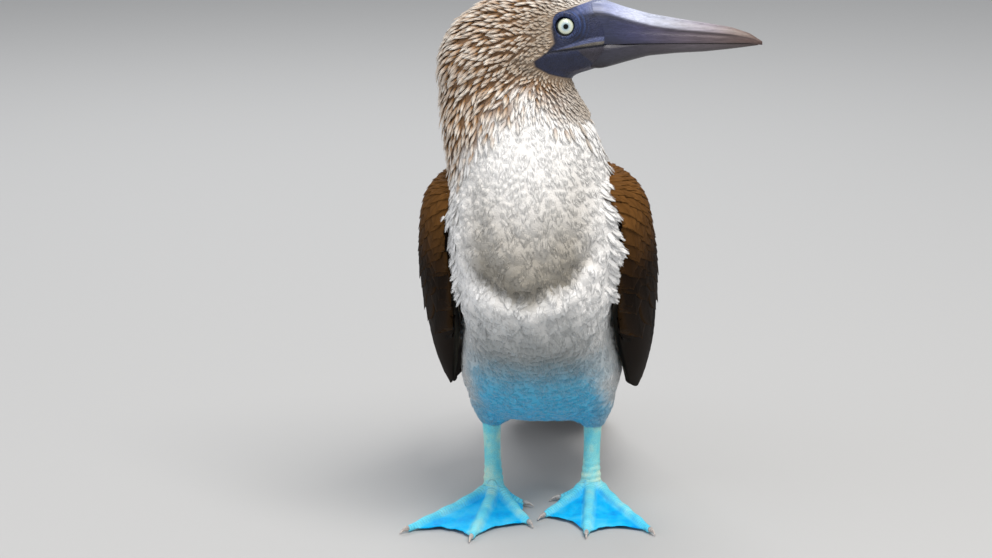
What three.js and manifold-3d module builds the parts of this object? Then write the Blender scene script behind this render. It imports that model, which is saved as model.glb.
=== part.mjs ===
// A blue-footed booby standing still, its head turned to its left. Millimetres, +Z up.
// The bird faces -Y, its left side is +X, and the floor is the plane Z = 0.
import * as THREE from "three";
import { mergeVertices } from "three/addons/utils/BufferGeometryUtils.js";
import Module from "manifold-3d";

const wasm = await Module();
wasm.setup();

// Driving dimensions
const seam = 0.3; // gap between touching pieces
const around = 22; // sides of the body's rings
const headMiddle = [16.2, -78, 326]; // halfway between the eyes
const headYaw = 6; // degrees, how far past square the head is turned
const eyeSpread = 16; // half the distance between the eyes
const eyeballRadius = 8.2;
const eyeOpening = 6; // inside radius of the lids
const lidThickness = 3.8;
const billRoot = 26.3; // from the eyes' line to where the bill leaves the face
const billReach = 121; // from the eyes' line to the bill's tip
const grooveDepth = 0.6; // of the groove along each side of the bill
const grooveWidth = 0.7;
const stances = {
  // ankle from the middle line, turn of the toes outwards in degrees, and their spread
  left: { x: 32, y: 8, turn: -1, spread: 0.92 },
  right: { x: 30.5, y: -6, turn: 5, spread: 1 },
};
const ankleHeight = 14; // where the shank meets the foot
const shankTop = { x: 33, y: 10, z: 47 };
const clawLength = 8;
const vaneThickness = 0.75; // of a feather at its shaft
const vaneStep = 1.2; // from one stacked feather to the next
const tipWidth = 0.3; // a feather's width at its tip, as a share of its full width
const tipRounding = 0.07; // how far a feather's middle passes its edges, as a share of its length
const wingLength = 400;
const wingCoreEnd = 0.6; // share of the wing's length that is solid under its feathers
const wingRim = 1.4; // thickness of that core at its edges
const covertEdge = 0.08; // clear of the wing's own edges, as a share of its depth
const secondaryCount = 6;
const primaryCount = 9;
const tailBase = [0, 86, 74];
const tailDrop = 20.8; // degrees below level
const tailLength = 188;
const tailPairs = 6;
const tailCovertCount = 3; // above, and as many below
const tailFan = 8; // degrees, half the spread of the closed tail
const tailRootHalf = 16;
const tailArch = 0.004; // fall of the tail's face to its sides, per square millimetre

const colours = {
  headFeathers: { color: 0xb9a892, roughness: 0.9 },
  whiteFeathers: { color: 0xe9e6e2, roughness: 0.9 },
  wingFeathers: { color: 0x4a3220, roughness: 0.75 },
  tailFeathers: { color: 0x35261b, roughness: 0.75 },
  blueSkin: { color: 0x2ba6e0, roughness: 0.6 },
  horn: { color: 0x7b788c, roughness: 0.45 },
  iris: { color: 0xdde8d0, roughness: 0.1 },
  claw: { color: 0x9a9298, roughness: 0.5 },
};

const bird = new THREE.Group();

function addPart(name, solid, finish) {
  const material = new THREE.MeshStandardMaterial({ ...colours[finish], metalness: 0 });
  const part = new THREE.Mesh(geometryOf(solid), material);
  part.name = name;
  bird.add(part);
}

// Solids from geometries and back
function solidOf(geometry) {
  const bare = new THREE.BufferGeometry();
  bare.setAttribute("position", geometry.getAttribute("position").clone());
  bare.setIndex(geometry.index.clone());
  const merged = mergeVertices(bare, 1e-3);
  const make = (triVerts) =>
    new wasm.Manifold(
      new wasm.Mesh({ numProp: 3, vertProperties: merged.attributes.position.array, triVerts }),
    );
  const corners = new Uint32Array(merged.index.array);
  const solid = make(corners);
  return solid.volume() < 0 ? make(corners.slice().reverse()) : solid;
}

function geometryOf(solid) {
  const mesh = solid.getMesh();
  const geometry = new THREE.BufferGeometry();
  geometry.setAttribute("position", new THREE.BufferAttribute(mesh.vertProperties.slice(), 3));
  geometry.setIndex(new THREE.BufferAttribute(mesh.triVerts.slice(), 1));
  geometry.computeVertexNormals();
  return geometry;
}

const fuse = (solids) => solids.reduce((whole, solid) => whole.add(solid));

const largestOf = (solid) => solid.decompose().sort((a, b) => b.volume() - a.volume())[0];

function blockAt(centre, size, turn = new THREE.Euler()) {
  const block = new THREE.BoxGeometry(...size);
  block.applyMatrix4(new THREE.Matrix4().makeRotationFromEuler(turn));
  block.translate(...centre);
  return solidOf(block);
}

// The same solid on the bird's other side
function mirrored(solid) {
  const geometry = geometryOf(solid);
  geometry.scale(-1, 1, 1);
  return solidOf(geometry);
}

const vector = (x, y, z) => new THREE.Vector3(x, y, z);
const curveOf = (points) =>
  new THREE.CatmullRomCurve3(
    points.map((point) => vector(...point)),
    false,
    "centripetal",
  );
const mix = THREE.MathUtils.lerp;
const radians = THREE.MathUtils.degToRad;

// Reads a value that changes smoothly along a part from evenly spread stations
function along(values, share) {
  const last = values.length - 1;
  const place = THREE.MathUtils.clamp(share, 0, 1) * last;
  const step = Math.min(Math.floor(place), last - 1);
  const t = place - step;
  const near = (k) => values[THREE.MathUtils.clamp(step + k, 0, last)];
  const rise = near(1) - near(0);
  const start = (near(1) - near(-1)) / 2;
  const end = (near(2) - near(0)) / 2;
  return near(0) + start * t + (3 * rise - 2 * start - end) * t ** 2 + (start + end - 2 * rise) * t ** 3;
}

// A closed skin over rings, each an oval with its own half width and two half heights
// A power above 2 makes the oval squarer
function loft(rings, sides = around) {
  const geometry = new THREE.CylinderGeometry(1, 1, 1, sides, rings.length - 1);
  const position = geometry.getAttribute("position");
  const squared = (value, power = 2) => Math.sign(value) * Math.abs(value) ** (2 / power);
  for (let i = 0; i < position.count; i += 1) {
    const ring = rings[Math.round((0.5 - position.getY(i)) * (rings.length - 1))];
    const across = squared(position.getX(i), ring.power);
    const upward = squared(position.getZ(i), ring.power);
    const point = ring.at.clone().addScaledVector(ring.side, across);
    point.addScaledVector(upward > 0 ? ring.up : ring.down, Math.abs(upward));
    position.setXYZ(i, point.x, point.y, point.z);
  }
  return solidOf(geometry);
}

// A level oval for upright parts
const levelRing = (x, y, z, half, deep) => ({
  at: vector(x, y, z),
  side: vector(half, 0, 0),
  up: vector(0, deep, 0),
  down: vector(0, -deep, 0),
});

// A thin plate, its two faces cut into triangles alike
function sheet(place, across, lengthwise) {
  const plane = new THREE.PlaneGeometry(1, 1, across, lengthwise);
  const position = plane.getAttribute("position");
  const count = position.count;
  const points = [];
  for (const face of [1, -1]) {
    for (let i = 0; i < count; i += 1) {
      points.push(...place(position.getX(i), 0.5 - position.getY(i), face).toArray());
    }
  }
  const corners = [...plane.index.array];
  for (let i = 0; i < plane.index.count; i += 3) {
    const [a, b, c] = [0, 1, 2].map((k) => plane.index.getX(i + k) + count);
    corners.push(a, c, b);
  }
  const row = across + 1;
  const rim = [];
  for (let i = 0; i < across; i += 1) rim.push(lengthwise * row + i);
  for (let j = lengthwise; j > 0; j -= 1) rim.push(j * row + across);
  for (let i = across; i > 0; i -= 1) rim.push(i);
  for (let j = 0; j < lengthwise; j += 1) rim.push(j * row);
  rim.forEach((here, k) => {
    const next = rim[(k + 1) % rim.length];
    corners.push(next, here, here + count, next, here + count, next + count);
  });
  const geometry = new THREE.BufferGeometry();
  geometry.setAttribute("position", new THREE.Float32BufferAttribute(points, 3));
  geometry.setIndex(corners);
  return solidOf(geometry);
}

// A feather's outline: the share of its full width at each share of its length
const vaneOutline = (share, point) => {
  const shoulder = Math.min(1, 0.6 + share * 1.6);
  const tip = share < 0.5 ? 1 : 1 - ((share - 0.5) / 0.5) ** point;
  return Math.max(tipWidth, shoulder * tip);
};

// A vane laid in a surface's own coordinates, rising from its root's height to its tip's
function vane(surface, feather) {
  const { root, tip, width, from, to, steps, roll = 0, point = 2 } = feather;
  const slope = Math.tan(radians(roll));
  const place = (a, step, face) => {
    const share = 1 - (1 - step) ** 1.3;
    const reach = share + (step === 1 ? tipRounding * (1 - 4 * a * a) : 0);
    const sideways = a * width * vaneOutline(share, point);
    const { at, out } = surface(mix(root[0], tip[0], reach), mix(root[1], tip[1], share), sideways);
    const shaft = vaneThickness * (a === 0 ? 1.15 : 0.75);
    return at.addScaledVector(out, mix(from, to, share) + sideways * slope + (face * shaft) / 2);
  };
  return sheet(place, 2, steps);
}

// Body and neck: rings from the tail's root up into the head, each across its own axis
// tilt is the lean of the ring's back edge, in degrees from straight back
const bodyStations = [
  { x: 0, y: 85, z: 75, tilt: 78, half: 22, front: 19, back: 17, power: 2 },
  { x: 0, y: 66, z: 79, tilt: 78, half: 32, front: 28, back: 26, power: 2 },
  { x: 0, y: 42, z: 86, tilt: 74, half: 44, front: 38, back: 36, power: 2.3 },
  { x: 0, y: 14, z: 97, tilt: 66, half: 54, front: 47, back: 47, power: 2.9 },
  { x: 0, y: -16, z: 114, tilt: 57, half: 52, front: 51, back: 55, power: 2.8 },
  { x: 0, y: -42, z: 138, tilt: 48, half: 48, front: 53, back: 58, power: 2.4 },
  { x: 0, y: -64, z: 164, tilt: 40, half: 50, front: 60, back: 56, power: 2.2 },
  { x: 0, y: -80, z: 190, tilt: 31, half: 54.5, front: 57, back: 51, power: 2.1 },
  { x: -1, y: -88, z: 214, tilt: 21, half: 55.5, front: 51, back: 41, power: 2.1 },
  { x: -3, y: -88, z: 238, tilt: 12, half: 50, front: 46, back: 36, power: 2 },
  { x: -9, y: -86, z: 262, tilt: 4, half: 47.5, front: 39, back: 35, power: 2 },
  { x: -15, y: -82, z: 281, tilt: 0, half: 43, front: 33, back: 33, power: 2 },
  { x: -20, y: -79, z: 296, tilt: 0, half: 38, front: 29, back: 30, power: 2 },
  { x: -25, y: -78, z: 312, tilt: 0, half: 31, front: 26, back: 27, power: 2 },
];
const neckStation = 9; // the station at the foot of the neck
const ringsPerStation = 2;

function bodyRing(place, grow = 0) {
  const read = (key) => along(bodyStations.map((station) => station[key]), place);
  const tilt = radians(read("tilt"));
  const back = vector(0, Math.cos(tilt), Math.sin(tilt));
  return {
    at: vector(read("x"), read("y"), read("z")),
    side: vector(read("half") + grow, 0, 0),
    up: back.clone().multiplyScalar(read("back") + grow),
    down: back.clone().multiplyScalar(-read("front") - grow),
    power: read("power"),
  };
}

function bodySolid(grow = 0) {
  const count = (bodyStations.length - 1) * ringsPerStation + 1;
  const rings = Array.from({ length: count }, (_, i) => bodyRing(i / (count - 1), grow));
  return loft(rings.reverse());
}

// Head: upright rings from the nape to the bill's root, in the head's own axes
// x forward from the eyes, z up from the eyes
const skullStations = [
  { x: -75, top: -20, bottom: -36, half: 11 },
  { x: -69, top: -4, bottom: -46, half: 20 },
  { x: -56, top: 9, bottom: -50, half: 26 },
  { x: -38, top: 19, bottom: -48, half: 28 },
  { x: -20, top: 24, bottom: -42, half: 27 },
  { x: -6, top: 23, bottom: -36, half: 24 },
  { x: 8, top: 19, bottom: -31, half: 21 },
  { x: 20, top: 15, bottom: -27.5, half: 17 },
  { x: 26, top: 13, bottom: -25.6, half: 14.5 },
];

const headTurn = new THREE.Matrix4()
  .makeTranslation(...headMiddle)
  .multiply(new THREE.Matrix4().makeRotationZ(radians(headYaw)));
const inHead = (x, y, z) => vector(x, y, z).applyMatrix4(headTurn);
const headDirection = (x, y, z) => vector(x, y, z).transformDirection(headTurn);

// An upright oval across the head: middle is the height of its widest part
function headRing(x, top, middle, bottom, half, power) {
  return {
    at: inHead(x, 0, middle),
    side: headDirection(0, 1, 0).multiplyScalar(half),
    up: headDirection(0, 0, 1).multiplyScalar(top - middle),
    down: headDirection(0, 0, -1).multiplyScalar(middle - bottom),
    power,
  };
}

function skullSolid() {
  return loft(
    skullStations.map(({ x, top, bottom, half }) =>
      headRing(x, top, (top + bottom) / 2, bottom, half, 2.1),
    ),
  );
}

const eyePlaces = { eye_right: -eyeSpread, eye_left: eyeSpread };

function eyeball(y, grow = 0) {
  const ball = new THREE.SphereGeometry(eyeballRadius + grow, 14, 9);
  ball.rotateX(Math.PI / 2);
  ball.translate(...inHead(0, y, 0));
  return solidOf(ball);
}

// The fleshy ring of the lids round one eye
function lidRing(side) {
  const ring = new THREE.TorusGeometry(eyeOpening + lidThickness / 2, lidThickness / 2, 6, 16);
  ring.rotateX(Math.PI / 2);
  ring.translate(0, side * (eyeSpread + eyeballRadius * 0.62), 0);
  return solidOf(ring.applyMatrix4(headTurn));
}

// Bill: its profile from root to tip, heights measured from the eye
const billStations = [
  { share: 0, top: 13, bottom: -25.6, half: 14.5 },
  { share: 0.12, top: 9.2, bottom: -22.6, half: 12 },
  { share: 0.28, top: 5.2, bottom: -19.6, half: 9 },
  { share: 0.46, top: 2.2, bottom: -18.6, half: 7 },
  { share: 0.64, top: -0.6, bottom: -17.9, half: 5.6 },
  { share: 0.8, top: -3.2, bottom: -16.5, half: 4.3 },
  { share: 0.92, top: -7, bottom: -15.2, half: 2.9 },
  { share: 1, top: -12, bottom: -14.3, half: 0.9 },
];
const billSquareness = 2.5;
const lowerShort = 2.5; // how far the lower half ends short of the tip
const lowerNarrow = 0.92;
const mouthLine = (share) => -11.2 - 1.7 * share;

function billSolid(upper) {
  const rings = billStations.map(({ share, top, bottom, half }) => {
    const x = mix(billRoot, billReach, share) - (upper ? 0 : lowerShort * share);
    const edge = mouthLine(share) + (upper ? seam / 2 : -seam / 2);
    return upper
      ? headRing(x, top, edge, edge, half, billSquareness)
      : headRing(x, edge, edge, bottom, half * lowerNarrow, billSquareness);
  });
  return loft(rings, 16);
}

// The long groove on one side of the upper half, where the closed nostril lies
function billGroove(side) {
  const grooveHeight = 0.42; // share of the upper half's height
  const inset = (1 - grooveHeight ** billSquareness) ** (1 / billSquareness);
  const place = (a, share, face) => {
    const reach = mix(0.04, 0.72, share);
    const read = (key) => {
      const next = billStations.findIndex((station) => station.share > reach);
      const [low, high] = [billStations[next - 1], billStations[next]];
      return mix(low[key], high[key], (reach - low.share) / (high.share - low.share));
    };
    const y = read("half") * inset + mix(-grooveDepth, 1, a + 0.5);
    const z = mix(mouthLine(reach), read("top"), grooveHeight) + (face * grooveWidth) / 2;
    return inHead(mix(billRoot, billReach, reach), side * y, z);
  };
  return sheet(place, 1, 6);
}

// The mouth's line, cut back into the face from the bill's root
function mouthSlit() {
  const depth = 24;
  const slit = new THREE.BoxGeometry(depth, 60, 2 * seam);
  slit.translate(billRoot + 1 - depth / 2, 0, mouthLine(0));
  return solidOf(slit.applyMatrix4(headTurn));
}

// Legs and feet
const floorBlock = blockAt([0, 0, -20], [600, 800, 40]);
const toeNames = ["hallux", "inner", "middle", "outer"];
const toes = {
  hallux: { angle: -70, length: 16, half: 2.6, base: [-6, 3] },
  inner: { angle: -30, length: 47, half: 3.2, base: [-6, -2] },
  middle: { angle: 1.5, length: 75, half: 3.7, base: [0, -3] },
  outer: { angle: 30, length: 77, half: 3.5, base: [6, -1] },
};
const toeHeights = [9, 6.6, 5, 3.8, 2.6]; // of a toe's middle line, from the ankle to its tip
const toeTaper = [1.25, 1, 0.9, 0.78, 0.62];
const knuckleSwell = 0.09;

// Direction of a toe over the floor, for the bird's left foot
function toeHeading(toe, foot) {
  const angle = radians(toe.angle * foot.spread + foot.turn);
  return vector(Math.sin(angle), -Math.cos(angle), 0);
}

function toePoint(toe, share, foot) {
  const [x, y] = toe.base;
  const point = vector(foot.x + x, foot.y + y, along(toeHeights, share));
  return point.addScaledVector(toeHeading(toe, foot), toe.length * share);
}

function toeSolid(toe, foot) {
  const heading = toeHeading(toe, foot);
  const rings = [0, 0.25, 0.5, 0.75, 1].map((share) => {
    const knuckle = 1 + knuckleSwell * Math.cos(share * toe.length * 0.32);
    const half = toe.half * along(toeTaper, share) * knuckle;
    return {
      at: toePoint(toe, share, foot),
      side: vector(-heading.y * half, heading.x * half, 0),
      up: vector(0, 0, half * 0.95),
      down: vector(0, 0, -half * 1.15),
    };
  });
  return loft(rings, 8);
}

// The skin between two toes, hollowed along its front edge and sagging between them
function webSolid(first, second, foot) {
  const hollow = 0.16;
  const sag = 1.6;
  const thickness = 1;
  const place = (a, share, face) => {
    const arch = Math.sin(Math.PI * (a + 0.5));
    const reach = share * 0.97 * (1 - hollow * arch * share);
    const point = toePoint(first, reach, foot).lerp(toePoint(second, reach, foot), a + 0.5);
    const low = point.z - sag * arch * (1 - share * 0.6) - 1.2;
    point.z = Math.max(low, 0.4) + (face > 0 ? thickness : 0);
    return point;
  };
  return sheet(place, 2, 4);
}

function clawSolid(toe, foot) {
  const heading = toeHeading(toe, foot);
  const end = toePoint(toe, 1, foot);
  const rings = [0, 0.4, 0.75, 1].map((share) => {
    const radius = mix(1.9, 0.45, share ** 0.9);
    const at = end.clone().addScaledVector(heading, seam + share * clawLength);
    at.z += 0.3 + 0.9 * Math.sin(Math.PI * share * 0.9) - 1.9 * share;
    return {
      at,
      side: vector(-heading.y, heading.x, 0).multiplyScalar(radius * 0.8),
      up: vector(0, 0, radius),
      down: vector(0, 0, -radius),
    };
  });
  return loft(rings, 6).subtract(floorBlock);
}

function shankSolid(foot) {
  const halves = [6.6, 5.6, 5.3, 5.6, 6.2];
  const depths = [7.2, 6.2, 6, 6.4, 7];
  const rings = [0, 0.2, 0.4, 0.6, 0.8, 1].map((share) =>
    levelRing(
      mix(foot.x, shankTop.x, share),
      mix(foot.y + 1, shankTop.y, share),
      mix(ankleHeight + seam, shankTop.z, share),
      along(halves, share),
      along(depths, share),
    ),
  );
  return loft(rings, 14);
}

// The joint between the shank and the toes, with its pad on the floor
function ankleSolid({ x, y }) {
  const rings = [
    levelRing(x, y + 1, ankleHeight, 6.6, 7.2),
    levelRing(x, y, 11, 8.4, 8),
    levelRing(x, y - 2, 7, 9.6, 8.2),
    levelRing(x, y - 2, 2, 7.6, 6.6),
    levelRing(x, y - 2, -0.5, 5, 4.6),
  ];
  return loft(rings, 14);
}

function footSolid(foot) {
  const solids = [ankleSolid(foot), ...toeNames.map((name) => toeSolid(toes[name], foot))];
  for (let i = 0; i < toeNames.length - 1; i += 1) {
    solids.push(webSolid(toes[toeNames[i]], toes[toeNames[i + 1]], foot));
  }
  return largestOf(fuse(solids).subtract(floorBlock));
}

// Thigh: the feathered sleeve where the leg leaves the belly
function thighSolid() {
  const { x, y, z } = shankTop;
  const rings = [
    levelRing(x - 1, y - 8, z + 32, 19, 26),
    levelRing(x - 1, y - 5, z + 20, 17, 23),
    levelRing(x - 1, y - 2, z + 10, 13.5, 17),
    levelRing(x - 1, y, z + 4, 10, 12),
    levelRing(x - 1, y, z + seam, 7.4, 8.4),
  ];
  return loft(rings, 18);
}

// Wing: a curved face between its leading edge and its upper edge, for the left side
const leadingEdge = curveOf([
  [51, -104, 228],
  [54, -99, 200],
  [51, -84, 164],
  [52, -54, 126],
  [57, -8, 86],
  [56, 46, 62],
  [42, 110, 60],
  [28, 180, 44],
  [17, 246, 19],
]);
const upperEdge = curveOf([
  [44, -76, 242],
  [40, -44, 232],
  [33, -12, 210],
  [26, 22, 180],
  [20, 54, 150],
  [17, 92, 122],
  [16, 134, 96],
  [15, 188, 65],
  [14, 252, 37],
]);
const wingBulge = [8, 21, 30, 33, 30, 22, 11, 5, 1];
const wingThickness = [10, 20, 26, 25, 20, 12, 6];

function wingPoint(u, v) {
  const s = THREE.MathUtils.clamp(u, 0, 1);
  const low = leadingEdge.getPoint(s);
  const chord = upperEdge.getPoint(s).sub(low);
  const out = leadingEdge.getTangent(s).cross(chord).normalize();
  if (out.x < 0) out.negate();
  const swell = Math.sin(Math.PI * THREE.MathUtils.clamp(v, 0, 1) ** 0.85) ** 0.75;
  return low.addScaledVector(chord, v).addScaledVector(out, along(wingBulge, s) * swell);
}

// A point of the wing's face and its outward direction, some way sideways along the chord
function wingSurface(u, v, sideways = 0) {
  const step = 0.004;
  const inU = THREE.MathUtils.clamp(u, step, 1 - step);
  const chord = wingPoint(inU, 0).distanceTo(wingPoint(inU, 1)) + 2;
  const across = v + sideways / chord;
  const inV = THREE.MathUtils.clamp(across, 0.06, 0.94);
  const alongU = wingPoint(inU + step, inV).sub(wingPoint(inU - step, inV));
  const alongV = wingPoint(inU, inV + step).sub(wingPoint(inU, inV - step));
  const out = alongU.cross(alongV).normalize();
  if (out.x < 0) out.negate();
  const at = wingPoint(u, across);
  if (u > 1) at.addScaledVector(leadingEdge.getTangent(1), (u - 1) * wingLength);
  return { at, out };
}

function wingCore() {
  const place = (a, share, face) => {
    const v = a + 0.5;
    const { at, out } = wingSurface(share * wingCoreEnd, v);
    const rim = Math.sin(Math.PI * THREE.MathUtils.clamp(v, 0.04, 0.96)) ** 0.7;
    const thick = along(wingThickness, share) * rim + wingRim;
    return at.addScaledVector(out, face > 0 ? 0 : -thick);
  };
  return sheet(place, 6, 9);
}

// Rows of coverts, laid like shingles from the shoulder back
const covertRows = [
  { from: 0.01, to: 0.13, count: 4, width: 24 },
  { from: 0.085, to: 0.205, count: 5, width: 25 },
  { from: 0.16, to: 0.285, count: 5, width: 27 },
  { from: 0.235, to: 0.37, count: 6, width: 25 },
  { from: 0.31, to: 0.46, count: 6, width: 22 },
];

function wingSolid() {
  const solids = [wingCore()];
  covertRows.forEach((row, k) => {
    for (let i = 0; i < row.count; i += 1) {
      const shift = k % 2 ? 0.6 : 0.4;
      const v = mix(covertEdge, 1 - covertEdge, (i + shift) / row.count);
      solids.push(
        vane(wingSurface, {
          root: [row.from, v],
          tip: [row.to, v],
          width: row.width,
          from: -2.4,
          to: 3.4,
          roll: -4.5,
          point: 2.4,
          steps: 2,
        }),
      );
    }
  });
  for (let i = 0; i < secondaryCount; i += 1) {
    const share = i / (secondaryCount - 1);
    solids.push(
      vane(wingSurface, {
        root: [0.4, mix(0.5, 0.92, share)],
        tip: [mix(0.64, 0.7, share), mix(0.56, 0.88, share)],
        width: 15,
        from: -1.8 + (i % 2) * vaneStep,
        to: 3.2 + (i % 2) * vaneStep,
        roll: -4,
        point: 2.2,
        steps: 3,
      }),
    );
  }
  for (let i = 0; i < primaryCount; i += 1) {
    const share = i / (primaryCount - 1);
    const stack = (i - primaryCount + 1) * vaneStep;
    solids.push(
      vane(wingSurface, {
        root: [0.46, mix(0.1, 0.42, share)],
        tip: [mix(1, 0.74, share), mix(0.5, 0.54, share)],
        width: mix(13, 16, share),
        from: stack,
        to: stack + 1.5,
        point: 1.5,
        steps: 5,
      }),
    );
  }
  return fuse(solids);
}

// Tail: a graded fan of pointed feathers over a fleshy root
const tailForward = vector(0, Math.cos(radians(tailDrop)), -Math.sin(radians(tailDrop)));
const tailUp = vector(0, Math.sin(radians(tailDrop)), Math.cos(radians(tailDrop)));

// A point of the tail's arched face: v runs across the fan from 0 to 1
function tailSurface(u, v, sideways = 0) {
  const fan = radians(mix(-tailFan, tailFan, v));
  const reach = u * tailLength;
  const across = Math.sin(fan) * reach + mix(-tailRootHalf, tailRootHalf, v) + sideways;
  const at = vector(...tailBase).addScaledVector(tailForward, Math.cos(fan) * reach);
  at.addScaledVector(tailUp, -tailArch * across * across);
  return { at: at.add(vector(across, 0, 0)), out: tailUp.clone() };
}

function tailRoot() {
  const rings = [
    { reach: 0, half: 22, high: 17, low: 19 },
    { reach: 18, half: 20, high: 12, low: 15 },
    { reach: 36, half: 18, high: 7, low: 11 },
    { reach: 52, half: 15, high: 3, low: 8 },
  ];
  return loft(
    rings.map((ring) => ({
      at: vector(...tailBase).addScaledVector(tailForward, ring.reach),
      side: vector(ring.half, 0, 0),
      up: tailUp.clone().multiplyScalar(ring.high),
      down: tailUp.clone().multiplyScalar(-ring.low),
    })),
    16,
  );
}

function tailSolid() {
  const solids = [tailRoot()];
  for (let i = 0; i < 2 * tailPairs; i += 1) {
    const share = Math.floor(i / 2) / (tailPairs - 1);
    const side = i % 2 ? 1 : -1;
    const v = 0.5 + side * mix(0.06, 0.5, share);
    const height = 2 - i * vaneStep;
    solids.push(
      vane(tailSurface, {
        root: [0.08, v],
        tip: [mix(1, 0.72, share), v],
        width: mix(24, 19, share),
        from: height,
        to: height,
        point: 1.4,
        steps: 3,
      }),
    );
  }
  for (const face of [1, -1]) {
    for (let i = 0; i < tailCovertCount; i += 1) {
      const v = mix(0.05, 0.95, i / (tailCovertCount - 1));
      const outside = face > 0 ? 4.4 : 3 - 2 * tailPairs * vaneStep;
      solids.push(
        vane(tailSurface, {
          root: [0.04, v],
          tip: [i % 2 ? 0.36 : 0.42, v],
          width: 19,
          from: face > 0 ? 4 : -6,
          to: outside + (i % 2) * vaneStep * face,
          steps: 2,
        }),
      );
    }
  }
  return fuse(solids);
}

// Flesh, modelled whole and parted with thin cuts
const cutAt = (centre, turn) => blockAt(centre, [200, 200, seam], turn);
const { y: neckY, z: neckZ, tilt: neckTilt } = bodyStations[neckStation];
const neckFoot = cutAt([0, neckY, neckZ], new THREE.Euler(radians(neckTilt), 0, 0));
const headFoot = cutAt([-20, -78, 292], new THREE.Euler(0, radians(-16), 0));

const eyeSockets = fuse(Object.values(eyePlaces).map((y) => eyeball(y, seam)));
const face = fuse([skullSolid(), lidRing(1), lidRing(-1)]).subtract(eyeSockets);
const flesh = bodySolid().add(face.subtract(mouthSlit())).subtract(neckFoot).subtract(headFoot);
const smallestFlesh = 5000; // cubic millimetres, to leave out a scrap of the cuts
const [torso, neck, head] = flesh
  .decompose()
  .filter((piece) => piece.volume() > smallestFlesh)
  .sort((a, b) => a.boundingBox().min[2] - b.boundingBox().min[2]);

addPart("torso", torso, "whiteFeathers");
addPart("neck", neck, "headFeathers");
addPart("head", head, "headFeathers");
for (const [name, y] of Object.entries(eyePlaces)) {
  addPart(name, eyeball(y), "iris");
}
addPart("bill_upper", billSolid(true).subtract(billGroove(1)).subtract(billGroove(-1)), "horn");
addPart("bill_lower", billSolid(false), "horn");

// What grows from the body is cut clear of it by the seam
const bodyWithSeam = bodySolid(seam);
const clearOfBody = (solid) => largestOf(solid.subtract(bodyWithSeam));
const leftWing = wingSolid();
addPart("wing_left", clearOfBody(leftWing), "wingFeathers");
addPart("wing_right", clearOfBody(mirrored(leftWing)), "wingFeathers");
addPart("tail", clearOfBody(tailSolid()), "tailFeathers");

for (const [side, stance] of Object.entries(stances)) {
  const onSide = (solid) => (side === "left" ? solid : mirrored(solid));
  addPart(`thigh_${side}`, clearOfBody(onSide(thighSolid())), "whiteFeathers");
  addPart(`leg_${side}`, onSide(shankSolid(stance)), "blueSkin");
  addPart(`foot_${side}`, onSide(footSolid(stance)), "blueSkin");
  for (const name of toeNames) {
    addPart(`claw_${side}_${name}`, onSide(clawSolid(toes[name], stance)), "claw");
  }
}

// The origin is on the floor under the middle of the whole bird
const extent = new THREE.Box3().setFromObject(bird);
bird.position.set(-(extent.min.x + extent.max.x) / 2, -(extent.min.y + extent.max.y) / 2, 0);

export default bird;
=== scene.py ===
import math

import bmesh
import bpy
import numpy as np
from mathutils import Matrix, Vector, noise
from mathutils.bvhtree import BVHTree
from mathutils.kdtree import KDTree


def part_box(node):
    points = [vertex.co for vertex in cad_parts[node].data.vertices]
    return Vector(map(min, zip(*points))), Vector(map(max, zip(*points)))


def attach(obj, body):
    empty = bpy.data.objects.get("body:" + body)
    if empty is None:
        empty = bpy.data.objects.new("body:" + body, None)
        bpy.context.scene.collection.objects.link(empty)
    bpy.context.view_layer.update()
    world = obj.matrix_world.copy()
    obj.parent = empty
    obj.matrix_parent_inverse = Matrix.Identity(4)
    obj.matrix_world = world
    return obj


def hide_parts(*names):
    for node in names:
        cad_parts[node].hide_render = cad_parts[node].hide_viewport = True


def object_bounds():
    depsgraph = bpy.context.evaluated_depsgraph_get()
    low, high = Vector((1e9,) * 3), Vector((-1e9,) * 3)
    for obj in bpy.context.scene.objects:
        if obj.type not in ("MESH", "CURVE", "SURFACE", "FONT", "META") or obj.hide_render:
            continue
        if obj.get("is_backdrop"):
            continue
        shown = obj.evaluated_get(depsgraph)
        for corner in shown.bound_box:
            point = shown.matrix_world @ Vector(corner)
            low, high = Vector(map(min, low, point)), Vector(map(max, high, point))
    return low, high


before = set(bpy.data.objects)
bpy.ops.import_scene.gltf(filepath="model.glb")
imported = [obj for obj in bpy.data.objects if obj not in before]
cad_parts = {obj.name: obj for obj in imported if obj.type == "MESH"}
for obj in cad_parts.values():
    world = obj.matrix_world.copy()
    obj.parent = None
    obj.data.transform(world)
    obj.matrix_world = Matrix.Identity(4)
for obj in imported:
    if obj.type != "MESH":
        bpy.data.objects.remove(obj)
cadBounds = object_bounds()
print("frame loaded")

# Shapes are worked out in the millimetres that the solids were drawn in.
# The right eye ties that drawing to the frame.
eyeLow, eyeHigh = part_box("eye_right")
drawingOrigin = np.array((eyeLow + eyeHigh) / 2) - np.array([17.872, -93.912, 326.0]) * 0.001


def toFrame(points):
    return np.asarray(points, float) * 0.001 + drawingOrigin


def toDrawing(points):
    return (np.asarray(points, float) - drawingOrigin) * 1000


# Camera of the photograph

cameraView = {"lens": 113.4, "sensor": 36, "from": (106.63, -1943.99, 598.81), "at": (-29.31, 0, 148.91)}

cameraData = bpy.data.cameras.new("photoCamera")
cameraData.lens = cameraView["lens"]
cameraData.sensor_width = cameraView["sensor"]
cameraData.clip_end = 50
camera = bpy.data.objects.new("photoCamera", cameraData)
bpy.context.scene.collection.objects.link(camera)
cameraPlace = Vector(toFrame(cameraView["from"]))
cameraAim = Vector(toFrame(cameraView["at"]))
camera.location = cameraPlace
camera.rotation_euler = (cameraAim - cameraPlace).to_track_quat("-Z", "Y").to_euler()
bpy.context.scene.camera = camera
print("camera placed")


# Small sums used all over the bird

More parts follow.
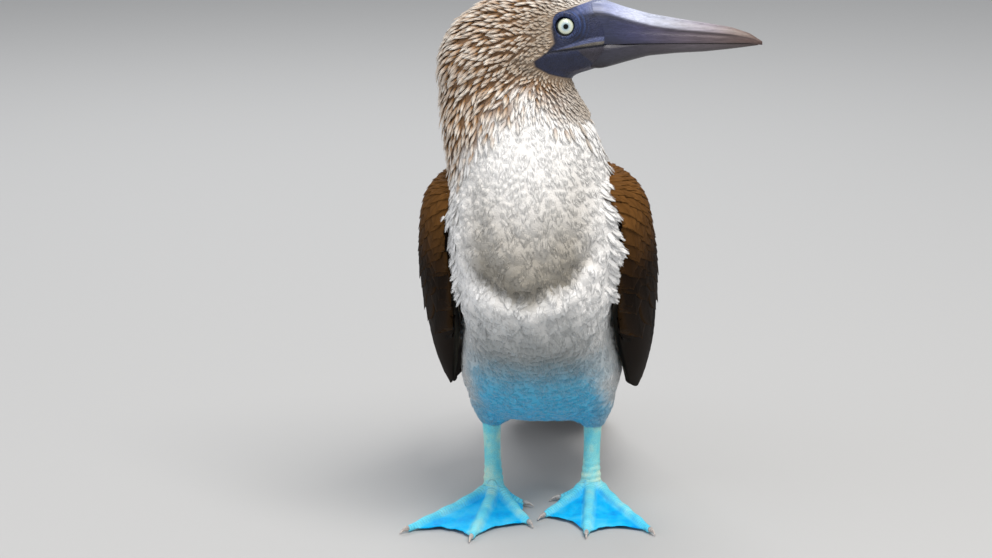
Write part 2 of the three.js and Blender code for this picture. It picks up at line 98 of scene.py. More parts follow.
def smoothRise(value, low, high):
    t = np.clip((value - low) / (high - low), 0, 1)
    return t * t * (3 - 2 * t)


def unit(vectors):
    return vectors / np.maximum(np.linalg.norm(vectors, axis=-1, keepdims=True), 1e-9)


def blend(a, b, share):
    return a + (b - a) * share


# Reads numbers or points that change smoothly over evenly spread stations
def through(stations, share):
    stations = np.asarray(stations, float)
    last = len(stations) - 1
    place = np.clip(share, 0, 1) * last
    step = np.minimum(place.astype(int), last - 1)
    t = place - step
    if stations.ndim > 1:
        t = t[..., None]

    def near(k):
        return stations[np.clip(step + k, 0, last)]

    rise, start, end = near(1) - near(0), (near(1) - near(-1)) / 2, (near(2) - near(0)) / 2
    return near(0) + start * t + (3 * rise - 2 * start - end) * t**2 + (start + end - 2 * rise) * t**3


def linear(code):
    channels = [int(code[i : i + 2], 16) / 255 for i in (1, 3, 5)]
    return np.array([c / 12.92 if c <= 0.04045 else ((c + 0.055) / 1.055) ** 2.4 for c in channels])


def shade(code):
    return (*linear(code), 1.0)


# Materials

# Links a node's first output, or the output that is given, to an input
def wire(material, source, node, socket):
    if isinstance(source, bpy.types.Node):
        source = source.outputs[0]
    material.node_tree.links.new(source, node.inputs[socket])


def addNode(material, kind, settings=None, links=None):
    node = material.node_tree.nodes.new(f"ShaderNode{kind}")
    for key, value in (settings or {}).items():
        if isinstance(key, int) or key in node.inputs:
            node.inputs[key].default_value = value
        else:
            setattr(node, key, value)
    for key, source in (links or {}).items():
        wire(material, source, node, key)
    return node


def newMaterial(name, settings):
    material = bpy.data.materials.new(name)
    material.use_nodes = True
    surface = material.node_tree.nodes["Principled BSDF"]
    for key, value in settings.items():
        surface.inputs[key].default_value = value
    return material, surface


# Multiplies a colour by a pattern, whose seen values are spread over the factors
def mottle(material, colour, pattern, seen, factors):
    spread = {"From Min": seen[0], "From Max": seen[1], "To Min": factors[0], "To Max": factors[1]}
    factor = addNode(material, "MapRange", spread, {"Value": pattern})
    multiply = {"data_type": "RGBA", "blend_type": "MULTIPLY", 0: 1.0}
    return addNode(material, "Mix", multiply, {6: colour, 7: factor}).outputs[2]


def addRelief(material, surface, height, strength, distance, invert=False):
    settings = {"Strength": strength, "Distance": distance, "invert": invert}
    wire(material, addNode(material, "Bump", settings, {"Height": height}), surface, "Normal")


# A ramp between sRGB colours, read by a number
def colourRamp(material, stops, source):
    ramp = addNode(material, "ValToRGB", {}, {"Fac": source})
    elements = ramp.color_ramp.elements
    while len(elements) < len(stops):
        elements.new(0.5)
    for element, (place, code) in zip(elements, stops):
        element.position = place
        element.color = shade(code)
    return ramp.outputs["Color"]


# Contour feathers: keratin barbs, soft and dull, each feather finely combed along its length
def featherMaterial(name, roughness, sheen, combing, depth):
    material, surface = newMaterial(name, {"Roughness": roughness, "Sheen Weight": sheen, "IOR": 1.54})
    surface.inputs["Sheen Roughness"].default_value = 0.4
    surface.inputs["Specular IOR Level"].default_value = 0.05
    plumage = addNode(material, "Attribute", {"attribute_name": "plumage"})
    vane = addNode(material, "Attribute", {"attribute_name": "vane"})
    combed = addNode(material, "Mapping", {"Scale": (combing, 0.25, 1)}, {"Vector": vane.outputs["Vector"]})
    # barbs run along the feather, about 0.4 mm apart, drawn a little coarser than real so that they show
    barbs = addNode(material, "TexNoise", {"Scale": 1.0, "Detail": 2.0, "Roughness": 0.6}, {"Vector": combed})
    wire(material, mottle(material, plumage, barbs, (0.3, 0.7), (0.88, 1.06)), surface, "Base Color")
    addRelief(material, surface, barbs, depth, 0.0004)
    return material


# down is matt, with a white haze of loose barbs
softFeathers = featherMaterial("Downy contour feathers", 0.95, 0.5, 2.6, 0.25)
# hackles are narrow and combed, with a faint lustre
hackleFeathers = featherMaterial("Hackle feathers", 0.85, 0.2, 3.2, 0.6)
# coverts are close brown vanes, dull and without a haze
covertFeathers = featherMaterial("Covert feathers", 0.7, 0.0, 1.6, 0.6)


# Flight feathers: stiff closed vanes, smoother and a little glossy, barbs slanting from a hard shaft
def vaneMaterial(name, roughness):
    material, surface = newMaterial(name, {"Roughness": roughness, "Specular IOR Level": 0.03, "IOR": 1.54})
    plumage = addNode(material, "Attribute", {"attribute_name": "plumage"})
    vane = addNode(material, "Attribute", {"attribute_name": "vane"})
    parts = addNode(material, "SeparateXYZ", {}, {0: vane.outputs["Vector"]})
    outward = addNode(material, "Math", {"operation": "ABSOLUTE"}, {0: parts})
    slant = addNode(
        material, "Math", {"operation": "MULTIPLY_ADD", 1: -1.1}, {0: outward, 2: parts.outputs[1]}
    )
    # barbs lie 1.3 mm apart, coarser than real ones so that they show at this size
    turn = addNode(material, "Math", {"operation": "MULTIPLY", 1: 4.8}, {0: slant})
    ridges = addNode(material, "Math", {"operation": "SINE"}, {0: turn})
    place = addNode(material, "Mapping", {"Scale": (0.5, 0.06, 1)}, {"Vector": vane.outputs["Vector"]})
    worn = addNode(material, "TexNoise", {"Scale": 1.0, "Detail": 3.0}, {"Vector": place})
    wire(material, mottle(material, plumage, worn, (0.3, 0.72), (0.7, 1.3)), surface, "Base Color")
    addRelief(material, surface, ridges, 0.35, 0.0003)
    return material


flightFeathers = vaneMaterial("Flight feathers", 0.65)  # dark keratin, a low gloss along the vane


# Making meshes

def meshFrom(name, points, faces):
    mesh = bpy.data.meshes.new(name)
    mesh.vertices.add(len(points))
    mesh.vertices.foreach_set("co", toFrame(points).astype(np.float32).ravel())
    mesh.loops.add(faces.size)
    mesh.loops.foreach_set("vertex_index", faces.astype(np.int32).ravel())
    mesh.polygons.add(len(faces))
    mesh.polygons.foreach_set("loop_start", np.arange(0, faces.size, faces.shape[1], dtype=np.int32))
    mesh.update(calc_edges=True)
    mesh.validate()
    return mesh


def setColours(mesh, name, colours):
    layer = mesh.attributes.new(name, "FLOAT_COLOR", "POINT")
    full = np.concatenate([colours, np.ones((len(colours), 1))], axis=1)
    layer.data.foreach_set("color", full.astype(np.float32).ravel())


def setVectors(mesh, name, vectors):
    layer = mesh.attributes.new(name, "FLOAT_VECTOR", "POINT")
    layer.data.foreach_set("vector", vectors.astype(np.float32).ravel())


def setNumbers(mesh, name, numbers):
    layer = mesh.attributes.new(name, "FLOAT", "POINT")
    layer.data.foreach_set("value", numbers.astype(np.float32))


def addPiece(name, mesh, material, smooth=True):
    mesh.materials.append(material)
    mesh.polygons.foreach_set("use_smooth", np.full(len(mesh.polygons), smooth))
    piece = bpy.data.objects.new(name, mesh)
    bpy.context.scene.collection.objects.link(piece)
    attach(piece, "root")
    return piece


# Bends a flat grid round into a closed shape: place(u, v) gives each point, u round and v along
def bentGrid(bm, place, around, lengthwise):
    made = bmesh.ops.create_grid(bm, x_segments=around, y_segments=lengthwise, size=1)["verts"]
    u = np.array([v.co.x for v in made]) / 2 + 0.5
    v = np.array([v.co.y for v in made]) / 2 + 0.5
    for vert, co in zip(made, toFrame(place(u, v))):
        vert.co = co
    bmesh.ops.remove_doubles(bm, verts=made, dist=2e-6)
    made = [vert for vert in made if vert.is_valid]
    rims = [e for e in {e for vert in made for e in vert.link_edges} if len(e.link_faces) == 1]
    if rims:
        bmesh.ops.holes_fill(bm, edges=rims, sides=0)
    return made


def finishedMesh(bm, name):
    bmesh.ops.recalc_face_normals(bm, faces=bm.faces[:])
    mesh = bpy.data.meshes.new(name)
    bm.to_mesh(mesh)
    bm.free()
    return mesh


def bentMesh(name, *surfaces):
    bm = bmesh.new()
    for place, around, lengthwise in surfaces:
        bentGrid(bm, place, around, lengthwise)
    return finishedMesh(bm, name)


def drawnPoints(mesh):
    flat = np.zeros(len(mesh.vertices) * 3)
    mesh.vertices.foreach_get("co", flat)
    return toDrawing(flat.reshape(-1, 3))


def normalsOf(mesh):
    flat = np.zeros(len(mesh.vertices) * 3)
    mesh.vertices.foreach_get("normal", flat)
    return flat.reshape(-1, 3)


# A mesh as it is after its modifiers
def settledMesh(mesh, modifiers):
    holder = bpy.data.objects.new("holder", mesh)
    bpy.context.scene.collection.objects.link(holder)
    for kind, settings in modifiers:
        modifier = holder.modifiers.new(kind, kind)
        for key, value in settings.items():
            setattr(modifier, key, value)
    seen = holder.evaluated_get(bpy.context.evaluated_depsgraph_get())
    settled = bpy.data.meshes.new_from_object(seen)
    bpy.data.objects.remove(holder)
    bpy.data.meshes.remove(mesh)
    return settled


# The body's line from the tail to the head: each station's middle, lean and half sizes

bodyLine = {
    "middle": [
        (0, 85, 75), (0, 66, 79), (0, 42, 86), (0, 14, 97), (0, -16, 114), (0, -42, 138), (0, -64, 164),
        (0, -80, 190), (-1, -88, 214), (-3, -88, 238), (-9, -86, 262), (-15, -82, 281), (-20, -79, 296),
        (-25, -78, 312),
    ],
    "tilt": [78, 78, 74, 66, 57, 48, 40, 31, 21, 12, 4, 0, 0, 0],
    "half": [22, 32, 44, 54, 52, 48, 50, 54.5, 55.5, 50, 47.5, 43, 38, 31],
}
headPlan = {"middle": (16.2, -78, 326), "yaw": 6, "eyeSpread": 16, "billRoot": 26.3, "billReach": 121}

lineShare = np.linspace(0, 1, 200)
lineMiddle = through(bodyLine["middle"], lineShare)
lineTilt = np.radians(through(bodyLine["tilt"], lineShare))
lineTail = np.stack([0 * lineTilt, np.sin(lineTilt), -np.cos(lineTilt)], 1)  # towards the tail
lineBack = np.stack([0 * lineTilt, np.cos(lineTilt), np.sin(lineTilt)], 1)  # towards the back
lineHalf = through(bodyLine["half"], lineShare)
headTurn = Matrix.Translation(headPlan["middle"]) @ Matrix.Rotation(math.radians(headPlan["yaw"]), 4, "Z")
headAxes = np.array(headTurn.to_3x3())


def inHead(points):
    return np.asarray(points, float) @ headAxes.T + np.array(headPlan["middle"])


def fromHead(points):
    return (np.asarray(points, float) - np.array(headPlan["middle"])) @ headAxes


# Nearest station of the body's line for each point
def lineStation(points):
    best = np.zeros(len(points), int)
    for start in range(0, len(points), 4000):
        chunk = points[start : start + 4000]
        apart = ((chunk[:, None, :] - lineMiddle[None]) ** 2).sum(2)
        best[start : start + 4000] = apart.argmin(1)
    return best


# How far each point lies behind the body's line, in millimetres and as a share of the half size there
def backReach(points):
    station = lineStation(points)
    return ((points - lineMiddle[station]) * lineBack[station]).sum(1)


def backShare(points):
    return backReach(points) / lineHalf[lineStation(points)]


# The edge of the bare face, seen from the side: x forward and z up from the eye
faceEdge = np.array(
    [(60, 60), (27, 22), (21.5, 15.4), (8, 12.4), (0, 10.2), (-6.2, 6.5), (-7.9, 0.6), (-7, -4.5), (-6.2, -9),
     (-11, -14.5), (-18.5, -19.5), (-17.5, -23), (-9, -28.2), (4.5, -32.6), (14, -40), (20, -60)]
)[::-1]


# How far each point lies into the bare face, in millimetres, below zero among the feathers
def faceDepth(points):
    local = fromHead(points)
    edge = np.interp(local[:, 2], faceEdge[:, 1], faceEdge[:, 0])
    depth = (local[:, 0] - edge) * 0.8
    near = np.abs(local[:, 1]) < 60
    return np.where(near & (points[:, 2] > 270), depth, -50)


# The lie of the coat: back from the bill, down the neck, then along the body to the tail
def coatLie(points):
    station = lineStation(points)
    body = lineTail[station]
    throat = smoothRise(points[:, 0], -25, 12) * smoothRise(points[:, 2], 306, 284)
    fall = np.clip((14 - points[:, 0]) / 150, 0, 1) + np.clip((322 - points[:, 2]) / 95, 0, 1) + 0.75 * throat
    turn = smoothRise(fall, -0.1, 1.35) * (math.pi / 2)
    head = np.stack([-np.cos(turn), 0.12 * np.ones(len(points)), -np.sin(turn)], 1)
    share = smoothRise(points[:, 2], 262, 300)[:, None]
    lie = body * (1 - share) + head * share
    legs = smoothRise(points[:, 2], 84, 62)[:, None] * smoothRise(points[:, 1], 40, 18)[:, None]
    legs = legs * smoothRise(np.abs(points[:, 0]), 10, 24)[:, None]
    return unit(lie * (1 - legs) + np.array([0, 0.1, -1.0]) * legs)


# Markings of the coat: the colour at a feather's root and at its tip

coatColours = {
    "hackleRoot": "#54361c",
    "hackleMiddle": "#a9825a",
    "hackleTip": "#efe7dc",
    "crownTip": "#f6f1ea",
    "cheekRoot": "#7c6a57",
    "cheekTip": "#b9aa98",
    "whiteRoot": "#f5f3f1",
    "whiteTip": "#fcfcfc",
    "creaseShade": "#88806f",
    # painted shade for the lower breast and belly
    "bellyShade": "#868d8e",
    # painted blue light, thrown up from the feet onto the white belly
    "bellyBlueBounce": "#54c2ea",
    "mantleRoot": "#33231a",
    "mantleTip": "#5d4329",
    "mantleFringe": "#a8927a",
}
tones = {name: linear(code) for name, code in coatColours.items()}

# Soft puffs of the breast's down, and the crease below it
puffs = {"width": 12.5, "height": 4.6, "crease": 5.0, "creaseHeight": 165}


# Height where the streaked neck turns white, lower on the bird's right
def whiteFrom(points):
    return 283 - 0.1 * np.maximum(points[:, 0], 0) - 0.0205 * np.minimum(points[:, 0], 0) ** 2


# Height above the crease under the breast, which hangs lowest in the middle
def aboveCrease(points):
    return points[:, 2] - puffs["creaseHeight"] - 0.016 * (points[:, 0] + 4) ** 2


# Colours at a feather's root, middle and tip, with painted shade under the breast and on the belly and
# painted blue light low on the belly, and how streaked and how brown it is
def coatMarkings(points):
    backward = backShare(points)
    wobble = 5 * np.sin(points[:, 0] * 0.21 + points[:, 2] * 0.13) + 3 * np.sin(points[:, 2] * 0.37)
    streaked = smoothRise(points[:, 2] + wobble - whiteFrom(points), -12, 14)
    streaked = np.maximum(streaked, smoothRise(backward, 0.0, 0.5) * smoothRise(points[:, 2], 205, 240))
    local = fromHead(points)
    crown = smoothRise(local[:, 0], -26, 10) * smoothRise(local[:, 2], 3, 14)
    crown = crown * smoothRise(points[:, 2], 300, 320)
    cheek = smoothRise(faceDepth(points), -20, -3) * (1 - crown)
    middleShare = smoothRise(np.abs(points[:, 0] + 2), 48, 24)
    # painted shade: the white of the lower breast and belly turns grey, most in the middle
    low = smoothRise(points[:, 2] + 0.5 * wobble, 176, 112) * smoothRise(points[:, 1], 60, 20)
    low = low * (0.42 + 0.58 * middleShare)
    above = aboveCrease(points) + 0.25 * wobble
    shadow = smoothRise(above, 86, 2) * smoothRise(above, -9, 0) * middleShare
    shadow = shadow * smoothRise(points[:, 1], 0, -30)
    # painted blue light from the feet, lowest on the belly and fading to the sides
    blue = smoothRise(points[:, 2] + 0.2 * wobble, 126, 80) * smoothRise(points[:, 1], 34, 6)
    blue = blue * smoothRise(np.abs(points[:, 0]) + 0.4 * wobble, 50, 30)
    back = smoothRise(backward, 0.1, 0.45) * smoothRise(points[:, 2], 262, 232)
    patch = smoothRise(points[:, 2] + wobble, 202, 216) * smoothRise(points[:, 2], 246, 232)
    rump = smoothRise(points[:, 1], 48, 68)
    brown = back * (1 - 0.85 * patch) * (1 - 0.8 * rump)
    # each layer's share, then the colour, its dimming and its strength at root, middle and tip
    layers = [
        (streaked, ("hackleRoot", 1, 1), ("hackleMiddle", 1, 1), ("hackleTip", 1, 1)),
        (crown, ("cheekTip", 1, 0.6), ("crownTip", 0.85, 1), ("crownTip", 1, 1)),
        (cheek, ("cheekRoot", 1, 0.8), ("cheekTip", 0.8, 0.8), ("cheekTip", 1, 0.75)),
    ]
    for name, share in (("creaseShade", 0.85 * shadow), ("bellyShade", 0.9 * low), ("bellyBlueBounce", blue)):
        layers.append((share, (name, 0.92, 1), (name, 1, 1), (name, 1, 1)))
    layers.append((brown, ("mantleRoot", 1, 1), ("mantleRoot", 1, 1), ("mantleTip", 1, 1)))
    colours = [tones["whiteRoot"], tones["whiteTip"] * 0.96, tones["whiteTip"]]
    for share, *parts in layers:
        for k, (name, dimming, strength) in enumerate(parts):
            colours[k] = blend(colours[k], tones[name] * dimming, (strength * share)[:, None])
    return (*colours, streaked * (1 - back), brown)


# A feather's colour along its length, from root through middle to tip
def featherColours(root, middle, tip, share, shape):
    share = share[None, :, None, None]
    colour = blend(root[:, None, None], middle[:, None, None], smoothRise(share, 0.02, 0.32))
    colour = blend(colour, tip[:, None, None], smoothRise(share, 0.3, 0.66))
    return np.clip(np.broadcast_to(colour, shape), 0, 1)


billPlan = {
    "share": [-0.1, -0.04, 0, 0.12, 0.28, 0.46, 0.64, 0.8, 0.92, 1],
    "top": [14.0, 13.7, 13, 9.2, 5.2, 2.2, -0.6, -3.2, -7, -12],
    "bottom": [-26.8, -27.0, -26.2, -23.5, -20.1, -18.6, -17.9, -16.5, -15.2, -14.3],
    "half": [15.4, 15.3, 14.6, 12, 9, 7, 5.6, 4.3, 2.9, 0.9],
    "square": 2.5,
    "baseSquare": 4.2,
    "groove": {"height": 0.42, "depth": 0.55, "width": 0.07},
    "plate": {"height": 0.16, "depth": 0.3, "width": 0.05},
    "lowerShort": 2.5,
    "lowerNarrow": 0.94,
}


def billValue(key, share):
    fine = np.linspace(billPlan["share"][0], 1, 220)
    values = np.interp(fine, billPlan["share"], billPlan[key])
    kernel = np.hanning(15) / np.hanning(15).sum()
    padded = np.concatenate([2 * values[0] - values[7:0:-1], values, 2 * values[-1] - values[-2:-9:-1]])
    return np.interp(share, fine, np.convolve(padded, kernel, "valid"))


# Colours of the horn, station by station from the face to the tip
billColours = {
    # the ridge's pale tones, palest near the face, are lilac horn with a painted highlight of the sky
    "ridge": ["#9fa8d0", "#c6cde8", "#b0b6ca", "#a3a2b0", "#918994", "#80706c", "#65534e"],
    "side": ["#272d4c", "#37385a", "#49445a", "#564d5a", "#5b4f55", "#5a4a49", "#57433f"],
    "under": ["#2b2b3a", "#33313d", "#413c45", "#504a52", "#544c52", "#4e4446", "#4a3a38"],
}
billTones = {name: np.array([linear(code) for code in codes]) for name, codes in billColours.items()}


def hornMarkings(share, height, upper):
    under = through(billTones["under"], share) * (1 - 0.3 * smoothRise(-height, 0.2, 0.6))[:, None]
    side = through(billTones["side"], share)
    low = blend(0.75, 0.56, smoothRise(share, -0.1, 0.5))
    side = side * (1 - 0.45 * np.exp(-(((height - low + 0.02) / 0.05) ** 2)))[:, None]
    # the ridge tones carry the painted sky highlight along the top
    ridge = through(billTones["ridge"], share) * blend(0.55, 1.0, smoothRise(share, -0.12, 0.06))[:, None]
    side = blend(side, ridge, smoothRise(height, low, low + 0.09)[:, None])
    side = side * (1 - 0.4 * smoothRise(height, 0.12, 0.0))[:, None]
    return np.clip(np.where(upper[:, None], side, under), 0, 1)


# Height of the line between the halves of the bill
def mouthLine(share):
    return -11.2 - 1.7 * share


# The bare face: slate blue, lilac towards the bill's ridge, a horn plate above the mouth
faceColours = {
    "slate": "#222a49",
    "lilac": "#6672a4",
    "ring": "#4b5f98",
    "wrinkle": "#2f4475",
    "hollowShade": "#15182b",
    # painted shade for the face's hollows
    "lipTop": "#59628a",
    "lip": "#726d66",
    "throat": "#232a47",
    "mandible": "#3d3a46",
    "chin": "#5c5866",
}
faceTones = {name: linear(code) for name, code in faceColours.items()}
gapeLine = {"from": (-19, -15.6), "to": (27, -11.5), "width": 0.9, "depth": 0.8, "lip": 5.4}
iris = (0.7, 1.1)  # the eye looks out a little ahead of and above the middle of its socket


# Height above the line of the mouth, and how far along it
def aboveMouth(local):
    share = (local[:, 0] - gapeLine["from"][0]) / (gapeLine["to"][0] - gapeLine["from"][0])
    height = blend(gapeLine["from"][1], gapeLine["to"][1], share)
    return local[:, 2] - height - 0.4 * np.sin(np.clip(share, 0, 1) * math.pi), share


# How much of the bare face lies in the thick lip above the mouth
def lipShare(above, share):
    thick = gapeLine["lip"] * smoothRise(share, 0.05, 0.85)
    inLip = smoothRise(above, 0, 0.5) * smoothRise(above - thick, 0.5, -0.5)
    return inLip * smoothRise(share, 0.96, 0.92), thick


def faceMarkings(local):
    above, share = aboveMouth(local)
    x, z = local[:, 0], local[:, 2]
    fromEye = np.hypot(x - iris[0], z - iris[1])
    wrinkles = smoothRise(np.sin(fromEye * 2.3), -0.3, 0.8)
    tone = np.broadcast_to(faceTones["slate"], local.shape)
    for name, amount in (
        ("throat", smoothRise(above, 0, -2)),
        ("lilac", smoothRise(z, 6.2, 9.5) * smoothRise(x, 1, 12)),
        ("wrinkle", 0.8 * wrinkles * smoothRise(x, 2, 7) * smoothRise(fromEye, 17, 11)),
        ("ring", 0.8 * smoothRise(fromEye, 10.0, 8.4) * smoothRise(z, 0, 6)),
        # painted shade: darker in the hollow below the eye and along the bare face's edge where the feathers
        # meet it
        ("hollowShade", 0.75 * np.exp(-(((x - 9) / 6) ** 2) - ((z + 6) / 2.6) ** 2)),
        ("hollowShade", 0.8 * smoothRise(faceDepth(inHead(local)), 2.2, 0.6) * smoothRise(x, 12, 4)),
    ):
        tone = blend(tone, faceTones[name], amount[:, None])
    edge = mouthLine(0)
    height = (z - edge) / (billPlan["top"][2] - edge)
    horn = hornMarkings((x - headPlan["billRoot"]) / 95, height, z > edge)
    tone = blend(tone, horn, (smoothRise(x, 11, 19) * (z > edge))[:, None])
    lip, thick = lipShare(above, share)
    mandible = smoothRise(z + 14.5 + 0.95 * (x - 9), -0.9, 0.9) * smoothRise(above, 0, -0.8)
    mandible = mandible * smoothRise(x, 7, 9)
    chin = np.exp(-(((z + 27.7 - 0.18 * (x - 7.6)) / 0.8) ** 2)) * smoothRise(x, 3, 8)
    for name, amount in (
        ("lipTop", lip),
        ("lip", lip * smoothRise(above - 0.55 * thick, 0.4, -0.4)),
        ("mandible", mandible),
        ("chin", 0.7 * chin),
    ):
        tone = blend(tone, faceTones[name], amount[:, None])
    return tone


# Skin: the flesh grown together without its seams, sunk by the depth of the coat

# voxel and closing in metres; the depths of the coat in millimetres
skinShape = {"voxel": 0.0018, "closing": 0.0005, "smoothing": 28}
coatDepth = {"body": 3.0, "neck": 2.2, "faceBlend": 9}

bm = bmesh.new()
for node in ("torso", "neck", "head", "thigh_left", "thigh_right"):
    bm.from_mesh(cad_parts[node].data)
bmesh.ops.remove_doubles(bm, verts=bm.verts[:], dist=1e-6)
bm.normal_update()
for vert in bm.verts:
    vert.co += vert.normal * skinShape["closing"]
rough = bpy.data.meshes.new("skin")
bm.to_mesh(rough)
bm.free()
skinMesh = settledMesh(
    rough,
    [
        ("REMESH", {"mode": "VOXEL", "voxel_size": skinShape["voxel"]}),
        ("SMOOTH", {"iterations": skinShape["smoothing"], "factor": 0.5}),
    ],
)
bm = bmesh.new()
bm.from_mesh(skinMesh)
inFace = faceDepth(drawnPoints(skinMesh)) > -4
bm.verts.ensure_lookup_table()
faceEdges = [e for e in bm.edges if inFace[e.verts[0].index] and inFace[e.verts[1].index]]
bmesh.ops.subdivide_edges(bm, edges=faceEdges, cuts=2, use_grid_fill=True, smooth=0)
bm.normal_update()
places = toDrawing([v.co[:] for v in bm.verts])
bareness = faceDepth(places)
sunk = blend(coatDepth["body"], coatDepth["neck"], smoothRise(places[:, 2], 230, 270))
sunk = sunk * smoothRise(bareness, 1, -coatDepth["faceBlend"])
for vert, depth in zip(bm.verts, sunk):
    vert.co -= vert.normal * depth * 0.001
bmesh.ops.triangulate(bm, faces=bm.faces[:])
skinMesh = finishedMesh(bm, "skin")
skinPoints = drawnPoints(skinMesh)
print("skin", len(skinMesh.polygons), "triangles")

# Below the lower half of the bill the face's folds gather along the line of the mouth
local = fromHead(skinPoints)
gapeApart, gapeShare = aboveMouth(local)
gapeReach = smoothRise(gapeShare, -0.05, 0.12) * smoothRise(gapeShare, 1.2, 1.02)
bareness = faceDepth(skinPoints)
onFace = smoothRise(bareness, -1, 2)
fold = np.exp(-((gapeApart / gapeLine["width"]) ** 2)) * gapeReach * onFace
lip, _ = lipShare(gapeApart, gapeShare)
puff = lip * smoothRise(gapeShare, 0.1, 0.5) * onFace
puffBelow = np.exp(-(((gapeApart + 3.0) / 2.2) ** 2)) * gapeReach * onFace
skinNormals = normalsOf(skinMesh)
rise = 0.55 * puff + 0.35 * puffBelow - gapeLine["depth"] * fold

# The breast's down lies in soft puffs, fullest above the crease where the breast ends
front = smoothRise(backReach(skinPoints), 20, -15)
domes = np.array([0.5 - noise.voronoi(Vector(p) / puffs["width"])[0][0] for p in skinPoints])
rolls = np.array([noise.noise(Vector(p) / 21) for p in skinPoints])
puffy = smoothRise(skinPoints[:, 2], 240, 200) * (0.3 + 0.7 * smoothRise(skinPoints[:, 2], 120, 160)) * front
rise = rise + puffy * puffs["height"] * (domes + 0.5 * rolls)
arc = aboveCrease(skinPoints) - 4 * rolls
sideways = np.abs(skinPoints[:, 0])
rise = rise - front * puffs["crease"] * np.exp(-((arc / 7.5) ** 2)) * smoothRise(sideways, 48, 30)
rise = rise + front * 1.6 * np.exp(-(((arc + 13) / 7) ** 2)) * smoothRise(sideways, 44, 26)
skinPoints = skinPoints + skinNormals * rise[:, None]
skinMesh.vertices.foreach_set("co", toFrame(skinPoints).astype(np.float32).ravel())
skinMesh.update()

rootTones, middleTones, *_ = coatMarkings(skinPoints)
bareShare = smoothRise(bareness, -0.8, 0.8)
painted = blend(blend(rootTones, middleTones, 0.4), faceMarkings(local), bareShare[:, None])
setColours(skinMesh, "plumage", painted)
setNumbers(skinMesh, "bare", bareShare)
setNumbers(skinMesh, "fold", np.clip(fold, 0, 1))
setVectors(skinMesh, "headPlace", local)

# Facial skin: bare, finely granular and leathery, slate blue with a dull moist gloss
faceSkin, surface = newMaterial("Bare facial skin", {"Roughness": 0.55, "IOR": 1.42, "Coat Weight": 0.12})
headPlace = addNode(faceSkin, "Attribute", {"attribute_name": "headPlace"})
plumage = addNode(faceSkin, "Attribute", {"attribute_name": "plumage"})
patches = addNode(
    faceSkin, "TexNoise", {"Scale": 0.22, "Detail": 5.0, "Roughness": 0.7},
    {"Vector": headPlace.outputs["Vector"]},
)
skinTone = mottle(faceSkin, plumage, patches, (0.3, 0.7), (0.75, 1.25))
# granules are about 0.9 mm across
granules = addNode(
    faceSkin, "TexVoronoi", {"Scale": 1.1, "Randomness": 1.0}, {"Vector": headPlace.outputs["Vector"]}
)
grained = mottle(faceSkin, skinTone, granules, (0.0, 0.75), (1.14, 0.72))
# painted shade: the skin darkens in the fold along the line of the mouth
foldShare = addNode(faceSkin, "Attribute", {"attribute_name": "fold"})
foldShaded = addNode(
    faceSkin, "Mix", {"data_type": "RGBA", 7: shade("#1a1d2c")}, {0: foldShare.outputs["Fac"], 6: grained}
)
bare = addNode(faceSkin, "Attribute", {"attribute_name": "bare"})
skinColour = addNode(
    faceSkin, "Mix", {"data_type": "RGBA"},
    {0: bare.outputs["Fac"], 6: plumage.outputs["Color"], 7: foldShaded.outputs[2]},
)
wire(faceSkin, skinColour.outputs[2], surface, "Base Color")
creases = addNode(
    faceSkin, "TexNoise", {"Scale": 0.9, "Detail": 4.0, "Roughness": 0.7},
    {"Vector": headPlace.outputs["Vector"]},
)
relief = addNode(
    faceSkin, "Math", {"operation": "MULTIPLY_ADD", 1: -0.8}, {0: granules.outputs["Distance"], 2: creases}
)
addRelief(faceSkin, surface, relief, 0.7, 0.0005)

skin = addPiece("skin", skinMesh, faceSkin)
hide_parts("torso", "neck", "head", "thigh_left", "thigh_right")

skinTree = BVHTree.FromPolygons(
    [Vector(p) for p in skinPoints], [tuple(p.vertices) for p in skinMesh.polygons]
)
skinNormals = normalsOf(skinMesh)
skinCorners = np.zeros(len(skinMesh.polygons) * 3, np.int32)
skinMesh.polygons.foreach_get("vertices", skinCorners)
skinCorners = skinCorners.reshape(-1, 3)
faceNormals = unit(skinNormals[skinCorners].mean(1))
cornerPoints = skinPoints[skinCorners]
twoSides = cornerPoints[:, 1:] - cornerPoints[:, :1]
faceAreas = np.linalg.norm(np.cross(twoSides[:, 0], twoSides[:, 1]), axis=1) / 2


def nearestOnSkin(points):
    places = np.zeros((len(points), 3))
    normals = np.zeros((len(points), 3))
    for i, point in enumerate(points):
        place, _, index, _ = skinTree.find_nearest(point)
        places[i] = place
        normals[i] = faceNormals[index]
    return places, normals


# An unwrap of the bird's own shape: round the body's line, and along it
def unwrapped(points):
    station = lineStation(points)
    out = points - lineMiddle[station]
    angle = np.arctan2((out * lineBack[station]).sum(1), out[:, 0])
    along = lineShare[station] * 0.8
    local = fromHead(points)
    onHead = points[:, 2] > 306
    headAngle = np.arctan2(local[:, 2] + 8, local[:, 1])
    headAlong = 0.82 + 0.16 * np.clip((local[:, 0] + 75) / 105, 0, 1)
    u = np.where(onHead, headAngle, angle) / (2 * math.pi) + 0.5
    return np.stack([u * 0.98 + 0.01, np.where(onHead, headAlong, along)], 1)


